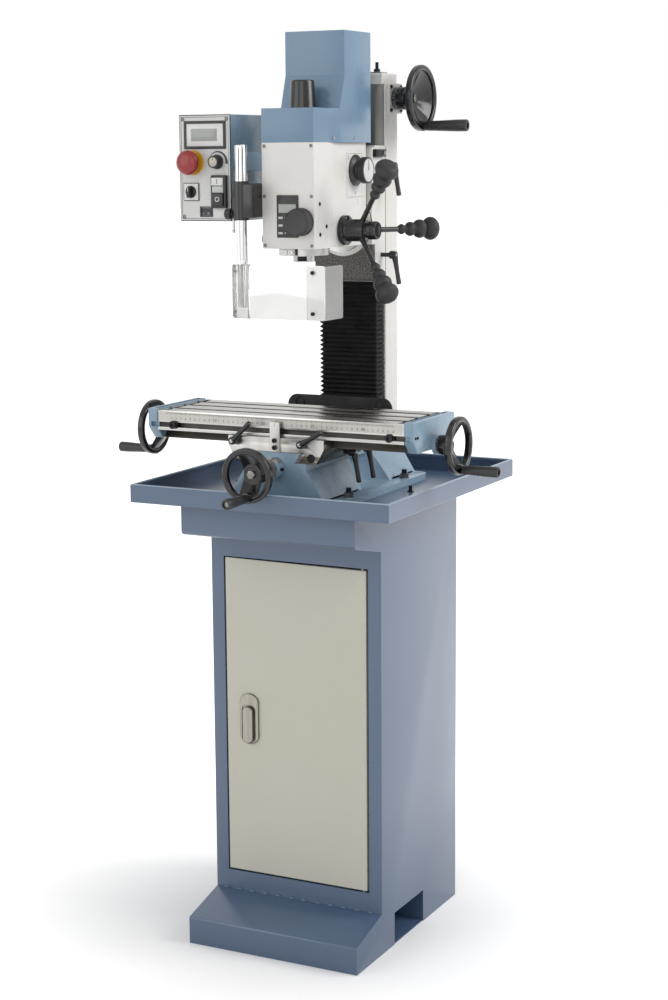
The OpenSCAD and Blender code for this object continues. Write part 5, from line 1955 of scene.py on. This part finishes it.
@dataclass(frozen=True)
class Head:
    """Gearbox casting with its belt cover, its readout, its selector and its screws.

    Attributes:
        half_width: Half of the casting's width.
        y: Its front and its rear face.
        low: Its underside.
        face_screws: Heights and half spacing of the six screws on the front.
        side_holes: Plugs on the right side as (y, z).
        cover_screws: (x, y, z) of the cover's screws on the right side.
        cap: Foot of the drawbar's cap.
        label: Low and high corner, as (y, z), of the selector's label.
        speeds: Each figure on the label and its (y, z).
    """

    half_width: float = 52
    y: tuple[float, float] = (-60, 150)
    low: float = 1302
    face_screws: tuple[float, float, float, float] = (1483, 1395, 1308, 47)
    side_holes: tuple[tuple[float, float], ...] = ((-38, 1381), (-12, 1341), (-37, 1327))
    cover_screws: tuple[Point, ...] = ((55.3, 13, 1497), (60, 89, 1497))
    cap: float = 1549
    label: tuple[Point, Point] = ((68, 1389), (133, 1471))
    speeds: tuple[tuple[str, float, float], ...] = (("1", 105, 1398), ("2", 76, 1462))

    def build(self) -> None:
        """Builds the casting, its cover and what is screwed to them."""
        body = round_edges(node_copy("head_casting", "head_body"), self.is_box_edge, 2.5)
        painted(
            body,
            lambda m, n: m.z < self.low - 0.1 or (abs(m.x) < 46 and n.z > 0.9 and m.z > 1488.5),
        )
        finish(body, "head", [WARM_WHITE, TURNED_STEEL], "head_casting")
        self.cover()
        self.small_screws()
        self.speed_label()
        self.left_side()
        self.clamp_lug()

    def is_box_edge(self, a: Vector, b: Vector) -> bool:
        """Whether an edge belongs to the outside of the box-shaped casting.

        Args:
            a: One end of the edge.
            b: Its other end.

        Returns:
            True if the edge is to be rounded.
        """
        half, (front, rear) = self.half_width, self.y
        faces = (
            in_plane(1, front), in_plane(1, rear), in_plane(2, self.low),
            lambda a, b: near(abs(a.x), half) and near(abs(b.x), half),
        )
        return sum(face(a, b) for face in faces) >= 2 and (a - b).length > 4

    def cover(self) -> None:
        """Rounds the belt cover, drives its screws and turns the drawbar's tapered cap."""
        cover = eased(node_copy("head_cover", "belt_cover"), 1.3, 3, 11, clamp=True)
        finish(cover, "head", COVER_BLUE, "head_cover", angle=40)
        screws = [
            CrossScrew(3.4).build("cover_screws", (side * x, y, z), (side, 0, 0))
            for side in (-1, 1)
            for x, y, z in self.cover_screws
        ]
        finish(joined(screws), "head", TURNED_STEEL)
        profile = [
            (0, 47), (16, 47), (16, -3), (18.6, -3), (18.6, 0), (24, 0), (24, 1), (23.8, 2),
            (20.9, 47), (20.5, 48.6), (19.6, 49.6), (18.4, 50), (0, 50),
        ]
        cap = lathe("drawbar_cover", profile, (0, 0, self.cap), UP, 64)
        finish(cap, "head", BLACK_ENAMEL, "drawbar_cap")

    def small_screws(self) -> None:
        """Drives the six face screws and closes the holes on the right side."""
        *heights, half = self.face_screws
        front, top = self.y[0], heights[0]
        first = CrossScrew(3.1).build("face_screws", (-half, front, top), FORWARD)
        places = [(x, z - top) for z in heights for x in (0, 2 * half)]
        moves = [shift(x=x, z=z) for x, z in places if (x, z) != (0, 0)]
        finish(row(first, moves), "head", ZINC_STEEL)
        plug = SocketScrew(3.7, 0.9)
        plugs = [
            plug.build("side_plugs", (self.half_width, y, z), RIGHT) for y, z in self.side_holes
        ]
        finish(joined(plugs), "head", BLACK_OXIDE)

    def speed_label(self) -> None:
        """Lays the selector's label with its border and two figures on the right side."""
        side = self.half_width

        def sheet(name: str, low: float, high: float, inset: float) -> Obj:
            """A sheet of the label's outline drawn in by an inset, between two heights."""
            (y0, z0), (y1, z1) = self.label
            return block(
                name, (side + low, y0 + inset, z0 + inset), (side + high, y1 - inset, z1 - inset)
            )

        finish(eased(sheet("selector_plate", 0, 0.6, 0), 0.25, 1), "head", WHITE_FILM)
        border = cut(sheet("selector_border", 0.5, 0.68, 1.5), sheet("inside", 0, 1, 2.1))
        finish(border, "head", ZINC_STEEL, slot="black_enamel")
        upright = Matrix.Rotation(math.pi / 2, 4, "Z") @ Matrix.Rotation(math.pi / 2, 4, "X")
        marks = [
            lettered("selector_figures", figure, 7, shift(side + 0.65, y, z) @ upright)
            for figure, y, z in self.speeds
        ]
        finish(joined(marks), "head", BLACK_INK)

    def left_side(self) -> None:
        """Turns the boss behind the guard's bracket and the small lock knob below it."""
        profile = [(0, 0), (40, 0), (40, 4), (38.5, 6), (0, 6)]
        boss = lathe("bracket_boss", profile, (-self.half_width, -8, 1389), LEFT, 64)
        finish(boss, "head", BLACK_ENAMEL)
        profile = [(0, 0), (6, 0), (6, 3), (13, 4), (14, 6), (14, 12), (12.6, 14), (0, 14.6)]
        knob = lathe("lock_knob", profile, (-self.half_width, -25, 1318), LEFT, 40)
        finish(knob, "head", BLACK_ABS)

    def clamp_lug(self) -> None:
        """Mounts the quill clamp's lug with its two screws beside the ring, and a black block in
        its slit as painted shade.
        """
        front, low, high = -53, 1289.5, 1301.8
        lug = block("clamp_lug", (-22, front, low), (7.5, -40, high))
        finish(eased(lug, 1.2, 3), "head", WARM_WHITE)
        # A black block fills the clamp's slit: painted shade in the gap.
        gap = block("clamp_gap", (7.6, -49, low + 0.5), (10.6, -40, high))
        finish(eased(gap, 0.3), "head", BLACK_OXIDE)
        screw = SocketScrew(3.6, 2.2)
        screws = [screw.build("lug_screws", (x, front, 1295.6), FORWARD) for x in (-9, 2.6)]
        finish(joined(screws), "head", TURNED_STEEL)


@dataclass(frozen=True)
class DepthReadout:
    """Digital depth readout and the fine feed's knob beside it.

    Attributes:
        panel: Left, right, underside and top of its housing.
        window: The same of its display.
        front: The face it stands on.
        proud: How far the housing stands off it.
        keys: Heights of its three keys.
        knob: (x, z) and radius of the fine feed's knob.
    """

    panel: tuple[float, float, float, float] = (-22, 21, 1322, 1397)
    window: tuple[float, float, float, float] = (-18, 17, 1366, 1381)
    front: float = -60
    proud: float = 2.2
    keys: tuple[float, float, float] = (1357, 1343.5, 1330)
    knob: tuple[float, float, float] = (27, 1350, 25)

    def build(self) -> None:
        """Moulds the housing, sets window and keys and turns the knob."""
        front, face = self.front, self.front - self.proud
        x, z, radius = self.knob
        left, right, low, high = self.panel
        shell = eased(block("readout_housing", (left, face, low), (right, front, high)), 0.6, 2)
        cut(shell, rod("clearance", (x, front - 5, z), (x, front + 1, z), 5.4))
        finish(shell, "head", BLACK_ABS)
        left, right, low, high = self.window
        rim = block(
            "readout_rim", (left - 1.4, face - 0.5, low - 1.4), (right + 1.4, face, high + 1.4)
        )
        cut(rim, block("hole", (left, face - 2, low), (right, face + 1, high)))
        finish(eased(rim, 0.15, 1), "head", BLACK_ENAMEL)
        cell = block("readout_cell", (left, face - 0.25, low), (right, face, high))
        finish(eased(cell, 0.1, 1), "head", LCD_CELL)
        top = self.keys[0]
        key = block("readout_keys", (-18.5, face - 0.6, top - 2.1), (-9.5, face, top + 2.1))
        profile = [(0, 0), (1.2, 0), (1.2, 0.4), (0.9, 0.6), (0, 0.6)]
        dot = lathe("key_dot", profile, (-4.5, face, top), FORWARD, 20)
        keys = row(joined([eased(key, 0.5, 3), dot]), [shift(z=z - top) for z in self.keys[1:]])
        finish(keys, "head", GREY_LENS)
        profile = [
            (0, -8), (5, -8), (5, 0.3), (radius - 1.4, 0.3), (radius, 1.6), (radius, 4),
            (radius - 1.2, 5.2), (radius - 1.2, 6.2), (radius - 0.4, 7.2), (radius - 0.8, 18.5),
            (radius - 1.6, 20.8), (radius - 3.4, 22), (radius - 4.6, 21.6), (0, 21.2),
        ]
        knob = lathe("feed_knob", profile, (x, front, z), FORWARD, 64)
        finish(knob, "fine_feed_knob", BLACK_ABS, "fine_feed_knob")


@dataclass(frozen=True)
class GearSelector:
    """Two-speed selector: flared skirt, waisted drum and a bright face with its index.

    Attributes:
        foot: Where its axis meets the head.
        drum: Radius and length of the drum.
    """

    foot: tuple[float, float, float] = (52, 105, 1439)
    drum: tuple[float, float] = (24, 28)

    def build(self) -> None:
        """Turns the drum, then sets the face plate and the index line."""
        side, y, z = self.foot
        radius, long = self.drum
        profile = [
            (0, -8), (5, -8), (5, 0.3), (28.4, 0.3), (28.5, 2.4), (26.4, 5), (22.4, 7.4),
            (19.4, 9.6), (18.6, 12), (19.4, 13.8), (22.6, 15), (radius, 16.4),
            (radius, long - 1.4), (radius - 1.2, long), (radius - 2.6, long),
            (radius - 2.8, long - 1), (0, long - 1),
        ]
        drum = lathe("selector_drum", profile, self.foot, RIGHT, 64)
        finish(drum, "gear_selector", BLACK_ABS, "gear_selector")
        rim = radius - 3.2
        profile = [(0, 0), (rim, 0), (rim, 0.5), (rim - 0.4, 0.8), (0, 0.8)]
        plate = lathe("selector_face", profile, (side + long - 1, y, z), RIGHT)
        finish(plate, "gear_selector", SILVER_FILM)
        x, tip = side + long - 0.2, z + radius - 4
        outline = [(x, y - 1.6, z), (x, y + 1.6, z), (x, y + 0.5, tip), (x, y - 0.5, tip)]
        finish(prism("selector_index", outline, (0.12, 0, 0)), "gear_selector", BLACK_INK)


@dataclass(frozen=True)
class Capstan:
    """Pilot wheel with three leaning spokes and ribbed grips.

    Attributes:
        foot: Where its shaft leaves the head.
        spoke_x: Where the spokes leave the hub.
        spoke: How far from the shaft a spoke starts, its lean and its length.
        grip: Length of a grip and how far it runs past the spoke's end.
        bulbs: Middle, radius and half length of each bulb along the grip.
    """

    foot: tuple[float, float, float] = (52, 55.5, 1332)
    spoke_x: float = 90
    spoke: tuple[float, float, float] = (12, 35, 142.8)
    grip: tuple[float, float] = (82, 8)
    bulbs: tuple[Point, ...] = ((7.5, 9.5, 7.5), (26, 13.2, 11), (46, 17.2, 14.5), (69, 21.5, 16))

    def grip_outline(self) -> Profile:
        """The half outline of a grip: round bulbs that grow towards the end.

        Returns:
            Pairs of radius and height from end to end.
        """
        end, count = self.grip[0] - 1.8, 52
        points = [(0.0, 0.0), (5.2, 0.0)]
        for z in (1 + (end - 1) * i / count for i in range(count + 1)):
            away = [(radius, (z - middle) / half) for middle, radius, half in self.bulbs]
            reach = [radius * math.sqrt(1 - off * off) for radius, off in away if abs(off) < 1]
            points.append((max([6.6, *reach]), z))
        last = points[-1][0]
        return [*points, (last - 1.4, end + 0.9), (last * 0.6, end + 1.6), (0.0, end + 1.8)]

    def build(self) -> None:
        """Turns hub and cap, swings the three spokes and keeps the CAD's shaft and pinion."""
        side, y, z = self.foot
        profile = [
            (0, 0.3), (26.2, 0.3), (27, 1.2), (27, 8.4), (25.6, 10), (21.4, 10), (20.4, 11.2),
            (20, 13), (20, 43.4), (18.8, 45.6), (14.2, 46.2), (13.6, 47), (13.6, 51),
            (14.4, 52), (16.4, 53), (16.4, 67.6), (15.4, 69.6), (13.8, 70), (10, 69.2), (0, 69),
        ]
        hub = lathe("capstan_hub", profile, self.foot, RIGHT, 64)
        finish(hub, "capstan", BLACK_ENAMEL, "capstan")
        works = sliced(node_copy("capstan", "capstan_shaft"), (side + 0.1, 0, 0), RIGHT)
        finish(works, "capstan", TURNED_STEEL)
        turns = ring_of(self.foot, RIGHT, 3)
        screw = SocketScrew(2.6, 1.4).build("flange_caps", (side + 10, y, z + 23.4), RIGHT)
        finish(row(screw, turns), "capstan", BLACK_OXIDE)
        start, lean, long = self.spoke
        reach, past = self.grip
        tilt = math.radians(lean)
        along = Vector((math.sin(tilt), math.cos(tilt), 0))
        foot = Vector((self.spoke_x, y + start, z))
        profile = [(0, 0), (5.8, 0), (5.8, 9), (4.8, 10.4), (4.8, long - 20), (0, long - 20)]
        spoke = lathe("capstan_spokes", profile, foot, along, 24)
        finish(row(spoke, turns), "capstan", BLACK_ENAMEL)
        foot += along * (long + past - reach)
        grip = lathe("capstan_grips", self.grip_outline(), foot, along, 40)
        finish(row(grip, turns), "capstan", GRIP_RUBBER, angle=60)


# ---------------------------------------------------------------- control box


@dataclass(frozen=True)
class ControlBox:
    """Control box with its display, switches and knobs.

    Attributes:
        x: Its left and right side.
        z: Its underside and top.
        front: Its front face under the panel.
        skin: Thickness of the panel.
        stop_at: (x, z) of the emergency stop.
        speed_at: The same of the speed knob.
        mode_at: The same of the mode switch.
        push_at: The same of the double push block.
        rocker_at: The same of the mains rocker.
    """

    x: tuple[float, float] = (-222, -115)
    z: tuple[float, float] = (1350, 1540)
    front: float = -60
    skin: float = 1.2
    stop_at: tuple[float, float] = (-193, 1455)
    speed_at: tuple[float, float] = (-143, 1456)
    mode_at: tuple[float, float] = (-197.5, 1402.5)
    push_at: tuple[float, float] = (-138, 1403)
    rocker_at: tuple[float, float] = (-167, 1367)

    def turned(self, name: str, at: Point, profile: Profile, steps: int = 48) -> Obj:
        """A part turned about an axis that stands on the box's front."""
        return lathe(name, profile, (at[0], self.front, at[1]), FORWARD, steps)

    def slab(self, name: str, x: Point, z: Point, low: float, high: float) -> Obj:
        """A block between two distances in front of the box."""
        return block(name, (x[0], self.front - high, z[0]), (x[1], self.front - low, z[1]))

    def plate(self, name: str, x: Point, z: Point, y: Point, edge: float) -> Obj:
        """A block on the panel between two heights above it, its edges eased."""
        return eased(self.slab(name, x, z, y[0] + self.skin, y[1] + self.skin), edge)

    def inset(self, name: str, inset: float, low: float, high: float) -> Obj:
        """A block of the panel's outline drawn in by an inset.

        Args:
            name: Name of the object.
            inset: How far each side is drawn in.
            low: Distance of its back before the box.
            high: Distance of its front before the box.

        Returns:
            The block.
        """
        (left, right), (foot, top) = self.x, self.z
        x, z = (left + inset, right - inset), (foot + inset, top - inset)
        return self.slab(name, x, z, low, high)

    def hole(self, at: Point, radius: float, low: float, high: float) -> Obj:
        """A round tool through the panel between two distances in front of the box."""
        x, z = at
        return rod("hole", (x, self.front - high, z), (x, self.front - low, z), radius)

    def window(self, at: Point, half_w: float, low: float, high: float, y: Point) -> Obj:
        """A square tool about a control, between two heights from its middle."""
        x, z = at
        return self.slab("window", (x - half_w, x + half_w), (z + low, z + high), *y)

    def build(self) -> None:
        """Folds the box, lays the panel and fits everything on it."""
        box = sliced(node_copy("control_box", "box_shell"), (0, self.front + 0.02, 0), FORWARD)
        finish(eased(box, 1.2, 3, 50), "head", CASTING_BLUE, "control_box")
        self.panel()
        self.display()
        self.stop_switch()
        self.speed_control()
        self.selector()
        self.push_buttons()
        self.rocker()

    def panel(self) -> None:
        """Lays the silvered panel with its black border line and its screws."""
        panel = cut(
            self.inset("control_panel", 1.5, -0.02, self.skin),
            self.hole(self.stop_at, 8.3, -2, 4),
            self.hole(self.speed_at, 4.05, -2, 4),
            self.hole(self.mode_at, 4.05, -2, 4),
            self.window(self.push_at, 10.4, -25.4, 25.4, (-2, 4)),
            self.window(self.rocker_at, 11.4, -8, 8, (-2, 4)),
        )
        finish(eased(panel, 0.25, 2, 50), "head", SILVER_FILM, slot="ground_steel")
        border = self.inset("border_line", 4, self.skin - 0.1, self.skin + 0.08)
        cut(border, self.inset("inside", 4.9, self.skin - 1, self.skin + 1))
        finish(border, "head", BLACK_INK)
        (left, right), (low, high) = self.x, self.z
        corner = (left + 8, self.front - self.skin, high - 8)
        screw = CrossScrew(3.2).build("panel_screws", corner, FORWARD)
        moves = corner_moves((right - left - 16, 0, 0), (0, 0, low - high + 16))
        finish(row(screw, moves), "head", ZINC_STEEL)

    def display(self) -> None:
        """Frames the display and sets its cell behind the white mask."""
        x, z = (-206, -129), (1484, 1524)
        bezel = self.plate("display_bezel", (-211, -124), (1479, 1529), (0, 2.4), 1)
        finish(cut(bezel, self.slab("hole", x, z, 2, 6.2)), "head", BLACK_ABS)
        finish(self.plate("display_mask", x, z, (0.8, 1.1), 0.1), "head", WHITE_FILM)
        cell = self.plate("display_cell", (-196, -142), (1493, 1515), (1.1, 1.3), 0.08)
        finish(cell, "head", LCD_CELL)

    def stop_switch(self) -> None:
        """Turns the yellow collar and the red mushroom head."""
        profile = [(8.3, 1.2), (22, 1.2), (22, 2.2), (21, 3.2), (9, 3.4), (8.3, 3.2), (8.3, 1.2)]
        finish(self.turned("stop_collar", self.stop_at, profile), "head", SIGNAL_YELLOW)
        profile = [
            (0, -14), (8, -14), (8, 17), (14, 18.4), (20.6, 19), (21.8, 20), (22.1, 22),
            (21.4, 25), (19.2, 28), (15.4, 30.2), (10, 31.6), (4.4, 32), (0, 32),
        ]
        head = self.turned("stop_head", self.stop_at, profile, 64)
        finish(head, "estop_button", SIGNAL_RED, "estop_button")

    def speed_control(self) -> None:
        """Prints the widening arc and turns the fluted knob with its bright cap."""
        x, z = self.speed_at
        outline = []
        for side, steps in ((0, range(25)), (1, range(24, -1, -1))):
            for i in steps:
                turn = math.radians(150 - 160 * i / 24)
                radius = 17 + side * (0.6 + 4.6 * i / 24)
                across, up = radius * math.cos(turn), radius * math.sin(turn)
                outline.append((x + across, self.front - self.skin - 0.08, z + up))
        finish(prism("speed_arc", outline, (0, 0.16, 0)), "head", BLACK_INK)
        profile = [
            (0, -14), (4, -14), (4, 1.6), (13, 1.6), (13, 4), (11.6, 5), (11, 16.6), (10, 17.6),
            (8.8, 17.8), (8.6, 17.2), (0, 17.2),
        ]
        knob = self.turned("speed_grip", self.speed_at, profile)
        start, end = (x, self.front - 4.6, z + 12.2), (x, self.front - 19, z + 12.2)
        flute = rod("flutes", start, end, 1.1, 10)
        cut(knob, row(flute, ring_of((x, 0, z), (0, 1, 0), 12)))
        finish(knob, "speed_knob", BLACK_ABS, "speed_knob")
        profile = [(0, 17.2), (8.4, 17.2), (8.4, 17.9), (7.8, 18.2), (0, 18.2)]
        cap = self.turned("speed_cap", self.speed_at, profile)
        finish(cap, "speed_knob", BRUSHED_NICKEL)
        line = self.slab("speed_index", (x - 0.6, x + 0.6), (z + 3, z + 7.6), 18.1, 18.3)
        finish(eased(line, 0.05, 1), "speed_knob", BLACK_INK)

    def selector(self) -> None:
        """Sets the white legend plate and the selector's winged knob."""
        x, z = self.mode_at
        for name, half, y, look in (
            ("mode_base", 16, (0, 2), BLACK_ABS), ("mode_plate", 14.8, (2, 2.3), WHITE_FILM),
        ):
            plate = self.plate(name, (x - half, x + half), (z - half, z + half), y, 0.1)
            cut(plate, self.hole(self.mode_at, 4.1, -2, 8))
            finish(plate, "head", look, slot="white_plastic")
        profile = [(0, -14), (4, -14), (4, 3.8), (11, 3.8), (11, 5.2), (10, 6), (0, 6)]
        base = self.turned("mode_grip", self.mode_at, profile)
        outline = [
            (-2.4, -10.4), (-3.4, -7), (-3.4, 6.4), (0, 10.8), (3.4, 6.4), (3.4, -7), (2.4, -10.4),
        ]
        y = self.front - 5.6
        wing = prism("mode_wing", [(x + dx, y, z + dz) for dx, dz in outline], (0, -10.2, 0))
        switch = joined([base, eased(wing, 0.7, 2, 30)])
        finish(switch, "mode_switch", BLACK_ABS, "mode_switch")
        line = self.slab("mode_index", (x - 0.5, x + 0.5), (z + 1, z + 8.6), 15.7, 15.9)
        finish(eased(line, 0.05, 1), "mode_switch", WHITE_FILM)

    def push_buttons(self) -> None:
        """Moulds the double push block: start above, lens between, stop below."""
        x, z = self.push_at
        sides, ends = (x - 15, x + 16.5), (z - 29.5, z + 29.5)
        shell = self.plate("push_block", sides, ends, (-0.02, 8.6), 1.6)
        for low, high in ((10.6, 25.4), (-25.4, -2.6)):
            cut(shell, self.window(self.push_at, 12, low, high, (-1, 20)))
        finish(shell, "head", BLACK_ABS)
        lens = self.plate("push_lens", (x - 11.4, x + 11.4), (z - 1.6, z + 9.6), (8.5, 9.4), 0.4)
        finish(lens, "head", GREY_LENS)
        upright = Matrix.Rotation(math.pi / 2, 4, "X")
        for body, low, high, look, slot, ink, words in (
            ("start_button", 11, 25, WHITE_PLASTIC, "black_plastic", BLACK_INK, "I"),
            ("stop_button", -25, -3, BLACK_ABS, "white_plastic", WHITE_FILM, "O"),
        ):
            stem = self.slab("stem", (x - 10, x + 10), (z + low, z + high), -14, 6)
            cap = self.slab(body + "_cap", (x - 11.6, x + 11.6), (z + low, z + high), 4.5, 13)
            button = joined([eased(cap, 0.8, 3), eased(stem, 0.4, 1)])
            finish(button, body, look, body, slot=slot)
            place = shift(x, self.front - 13.05, z + (low + high) / 2) @ upright
            mark = lettered(body + "_mark", words, 9, place)
            finish(mark, body, ink, slot="black_enamel")

    def rocker(self) -> None:
        """Frames the mains rocker and marks its two ends."""
        x, z = self.rocker_at
        frame = self.plate("rocker_frame", (x - 13.4, x + 13.4), (z - 9.4, z + 9.4), (-9, 1.1), 0.5)
        cut(frame, self.window(self.rocker_at, 11.4, -7.9, 7.9, (-12, 6)))
        finish(frame, "head", BLACK_ABS)
        key = eased(node_copy("power_rocker", "rocker_key"), 0.35, 2, 30)
        finish(key, "power_rocker", BLACK_ABS, "power_rocker")
        tilt = Matrix.Rotation(math.pi / 2 - 0.36, 4, "X")
        marks = [
            lettered("rocker_marks", words, 4, shift(x + dx, self.front - 2.55, z - 3.2) @ tilt)
            for words, dx in (("I", -5), ("O", 5))
        ]
        finish(joined(marks), "power_rocker", WHITE_FILM)


# ---------------------------------------------------------------- guard


@dataclass(frozen=True)
class ChuckGuard:
    """Swinging guard: chrome post in a clamp bracket, clear pane and frosted side piece.

    Attributes:
        post: (x, y) of the post's axis.
        radius: Radius of the post.
        lower_radius: Radius of the post below its bracket.
        post_z: Lower and upper end of the bright part of the post.
        pane: Left end, right end, underside and top of the clear pane.
        pane_y: Front and back of the clear pane.
        side_back: How far back the side piece reaches.
        lap: Where the side piece starts on the front.
        knob_z: Height of the clamping knob.
        clamp_z: Lower and upper end of the bracket's collar.
    """

    post: tuple[float, float] = (-81, -85)
    radius: float = 11.4
    lower_radius: float = 10
    post_z: tuple[float, float] = (1276, 1486)
    pane: tuple[float, float, float, float] = (-95, 93, 1179, 1275)
    pane_y: tuple[float, float] = (-98, -96)
    side_back: float = -34
    lap: float = 57
    knob_z: float = 1364
    clamp_z: tuple[float, float] = (1353, 1422)

    def build(self) -> None:
        """Builds the post, its bracket and the panes."""
        self.bright_post()
        self.bracket()
        self.clear_pane()
        self.side_piece()
        self.clamp_block()

    def bright_post(self) -> None:
        """Grooves the post, blackens the grooves as painted dark reflection stripes on the chrome,
        and rounds its top.
        """
        (x, y), (low, high) = self.post, self.post_z
        thin, thick, step = self.lower_radius, self.radius, self.clamp_z[0] + 3
        profile = [
            (0, 1200), (8, 1200), (8, low + 1), (thin, low), (thin, step), (thick, step + 1),
            (thick, high - 2.4), (thick - 0.8, high - 0.8), (thick - 2.6, high), (0, high),
        ]
        post = lathe("guard_rod", profile, (x, y, 0), UP, 56)
        for degrees, wide in ((10, 1.3), (46, 0.8)):
            ends = (x - wide, y - thick - 1, low + 6), (x + wide, y - thin + 1.5, high - 6)
            groove = block("groove", *ends)
            groove.data.transform(about((x, y, 0), UP, degrees))
            cut(post, groove)

        def in_groove(m: Vector, n: Vector) -> bool:
            """Whether a face lies in a groove, so that it doesn't face away from the axis."""
            away = Vector((m.x - x, m.y - y)).normalized() - Vector((n.x, n.y))
            return m.z > low + 4 and abs(n.z) < 0.1 and away.length > 0.25

        # The grooves' faces take black oxide: painted dark reflections on the chrome.
        painted(post, in_groove)
        finish(post, "guard_post", [CHROME, BLACK_OXIDE], "guard_post")

    def bracket(self) -> None:
        """Rounds the clamp's arm and turns its ribbed knob with the pin below."""
        (x, y), (low, high), knob_z = self.post, self.clamp_z, self.knob_z
        profile = [(0, low), (14, low), (15, low + 1), (15, high - 1), (14, high), (0, high)]
        collar = lathe("guard_arm", profile, (x, y, 0), UP, 56)
        arm = eased(block("arm", (x + 1, y - 11, low + 4), (-52.02, y + 44, high - 4)), 3, 4)
        for part in (collar, arm):
            cut(part, rod("bore", (x, y, low - 1), (x, y, high + 1), self.radius + 0.1, 56))
        finish(joined([collar, arm]), "head", BLACK_ENAMEL, "guard_bracket")
        profile = [(0, 0), (5, 0), (5, 2), (8.4, 3), (9, 4.4), (9, 13), (8, 14.6), (0, 15)]
        knob = lathe("guard_knob", profile, (x - 17, y, knob_z), LEFT, 40)
        rib = rod("ribs", (x - 20.6, y, knob_z + 9), (x - 30.4, y, knob_z + 9), 1.1, 8)
        row(rib, ring_of((0, y, knob_z), RIGHT, 12))
        finish(joined([knob, rib]), "head", BLACK_ABS)
        profile = [(0, 0), (2.2, 0), (2.2, 22), (3, 22.6), (3, 26), (2.4, 27), (0, 27)]
        pin = lathe("guard_pin", profile, (x - 17.5, y + 2, 1357), (0, 0, -1), 20)
        finish(pin, "head", TURNED_STEEL)

    def clear_pane(self) -> None:
        """Cuts the clear sheet with rounded corners."""
        left, right, low, high = self.pane
        front, back = self.pane_y
        sheet = block("clear_sheet", (left, front, low), (right, back, high))
        eased(round_edges(sheet, along_axis(1), 6, 5), 0.3, 2, 50)
        painted(sheet, lambda m, n: abs(n.y) < 0.9)
        finish(sheet, "guard_pane", [CLEAR_PANE, SAWN_EDGE], "guard_pane")

    def side_piece(self) -> None:
        """Bends the frosted piece round the right end and screws it to the sheet."""
        _, right, low, high = self.pane
        outer, behind, back = right + 2, self.pane_y[0] - 0.02, self.side_back
        front, foot = self.pane_y[0] - 2, low + 1
        outline = [
            (self.lap, front), (outer, front), (outer, back), (right, back), (right, behind),
            (self.lap, behind),
        ]
        bend = prism("side_sheet", [(*at, foot) for at in outline], (0, 0, high - low - 2))
        at_side, in_front, in_back = in_plane(0, outer), in_plane(1, front), in_plane(1, back)
        round_edges(bend, lambda a, b: at_side(a, b) and in_front(a, b), 2.4, 5)
        across = along_axis(0)
        round_edges(
            bend, lambda a, b: in_back(a, b) and across(a, b) and not near(a.x, b.x), 3
        )
        painted(
            bend,
            lambda m, n: abs(n.y) > 0.9 and m.y < self.pane_y[0] + 1,
            lambda m, n: abs(n.z) > 0.5 or (abs(n.y) > 0.5 and m.y > back - 4),
        )
        finish(bend, "guard_pane", [FROSTED_PANE, CLEAR_PANE, SAWN_EDGE])
        top, down = ((self.lap + right) / 2 - 6, front, high - 12), [shift(z=low - high + 24)]
        profile = [(0, 0), (6.4, 0), (6.4, 0.6), (6, 0.9), (0, 0.9)]
        washers = row(lathe("pane_washers", profile, top, FORWARD, 32), down)
        finish(washers, "guard_pane", TURNED_STEEL, slot="white_plastic")
        screws = row(SocketScrew(3.6, 3.4).build("pane_screws", top, FORWARD), down)
        finish(screws, "guard_pane", BLACK_OXIDE)

    def clamp_block(self) -> None:
        """Builds the clear block that holds the sheet on the post."""
        x, y = self.post
        _, _, low, high = self.pane
        clamp = block("pane_block", (x - 13.8, y - 10.98, low + 1), (x + 13.8, y + 13, high - 0.2))
        cut(clamp, rod("bore", (x, y, low + 20), (x, y, high + 4), 8.3))
        upright = along_axis(2)
        round_edges(clamp, lambda a, b: upright(a, b) and abs(a.x - x) > 12 and a.y > y, 9, 6)
        finish(eased(clamp, 0.5, 2, 50), "guard_pane", CLEAR_PANE)
        at = (x - 8, self.pane_y[0], high - 12)
        screw = SocketScrew(2.8, 2).build("block_screws", at, FORWARD)
        finish(row(screw, [shift(z=low - high + 24)]), "guard_pane", ZINC_STEEL)


# ---------------------------------------------------------------- assembly


ASSEMBLIES = (
    CabinetStand(), Door(), ChipTray(), BaseCasting(), Saddle(), WorkTable(), Handwheels(),
    Column(), WayCovers(), Carriage(), Spindle(), Head(), DepthReadout(), GearSelector(),
    Capstan(), ControlBox(), ChuckGuard(), ClampLevers(), Studio(),
)
# The works inside, which keep the CAD's own shapes.
NODE_LOOKS: dict[Finish, tuple[str, ...]] = {
    BLACK_RUBBER: ("drive_belt",),
    GROUND_STEEL: ("saddle_gibs",),
    TURNED_STEEL: ("y_screw", "x_screw", "z_screw", "z_shaft", "motor_pulley", "drive_pulley"),
    CAST_IRON: ("motor",),
    BRONZE: ("feed_nuts", "z_nut"),
}


def dress_nodes(frame: dict) -> None:
    """Gives every CAD node that stays in view its finish.
    """
    for look, names in NODE_LOOKS.items():
        for name in names:
            node = frame["nodes"][name]
            if not node.material_slots:
                node.data.materials.append(look.material())
            for held in node.material_slots:
                held.material = look.material()


def corners() -> list[list[float]]:
    """The box of what shows, as plain lists of numbers."""
    return [list(corner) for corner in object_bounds()]


def main() -> None:
    """Loads the frame, builds each sub-assembly round it and sets the studio."""
    logging.basicConfig(level=logging.INFO, format="%(message)s")
    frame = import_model()
    dress_nodes(frame)
    for assembly in ASSEMBLIES:
        assembly.build()


if __name__ == "__main__":
    main()
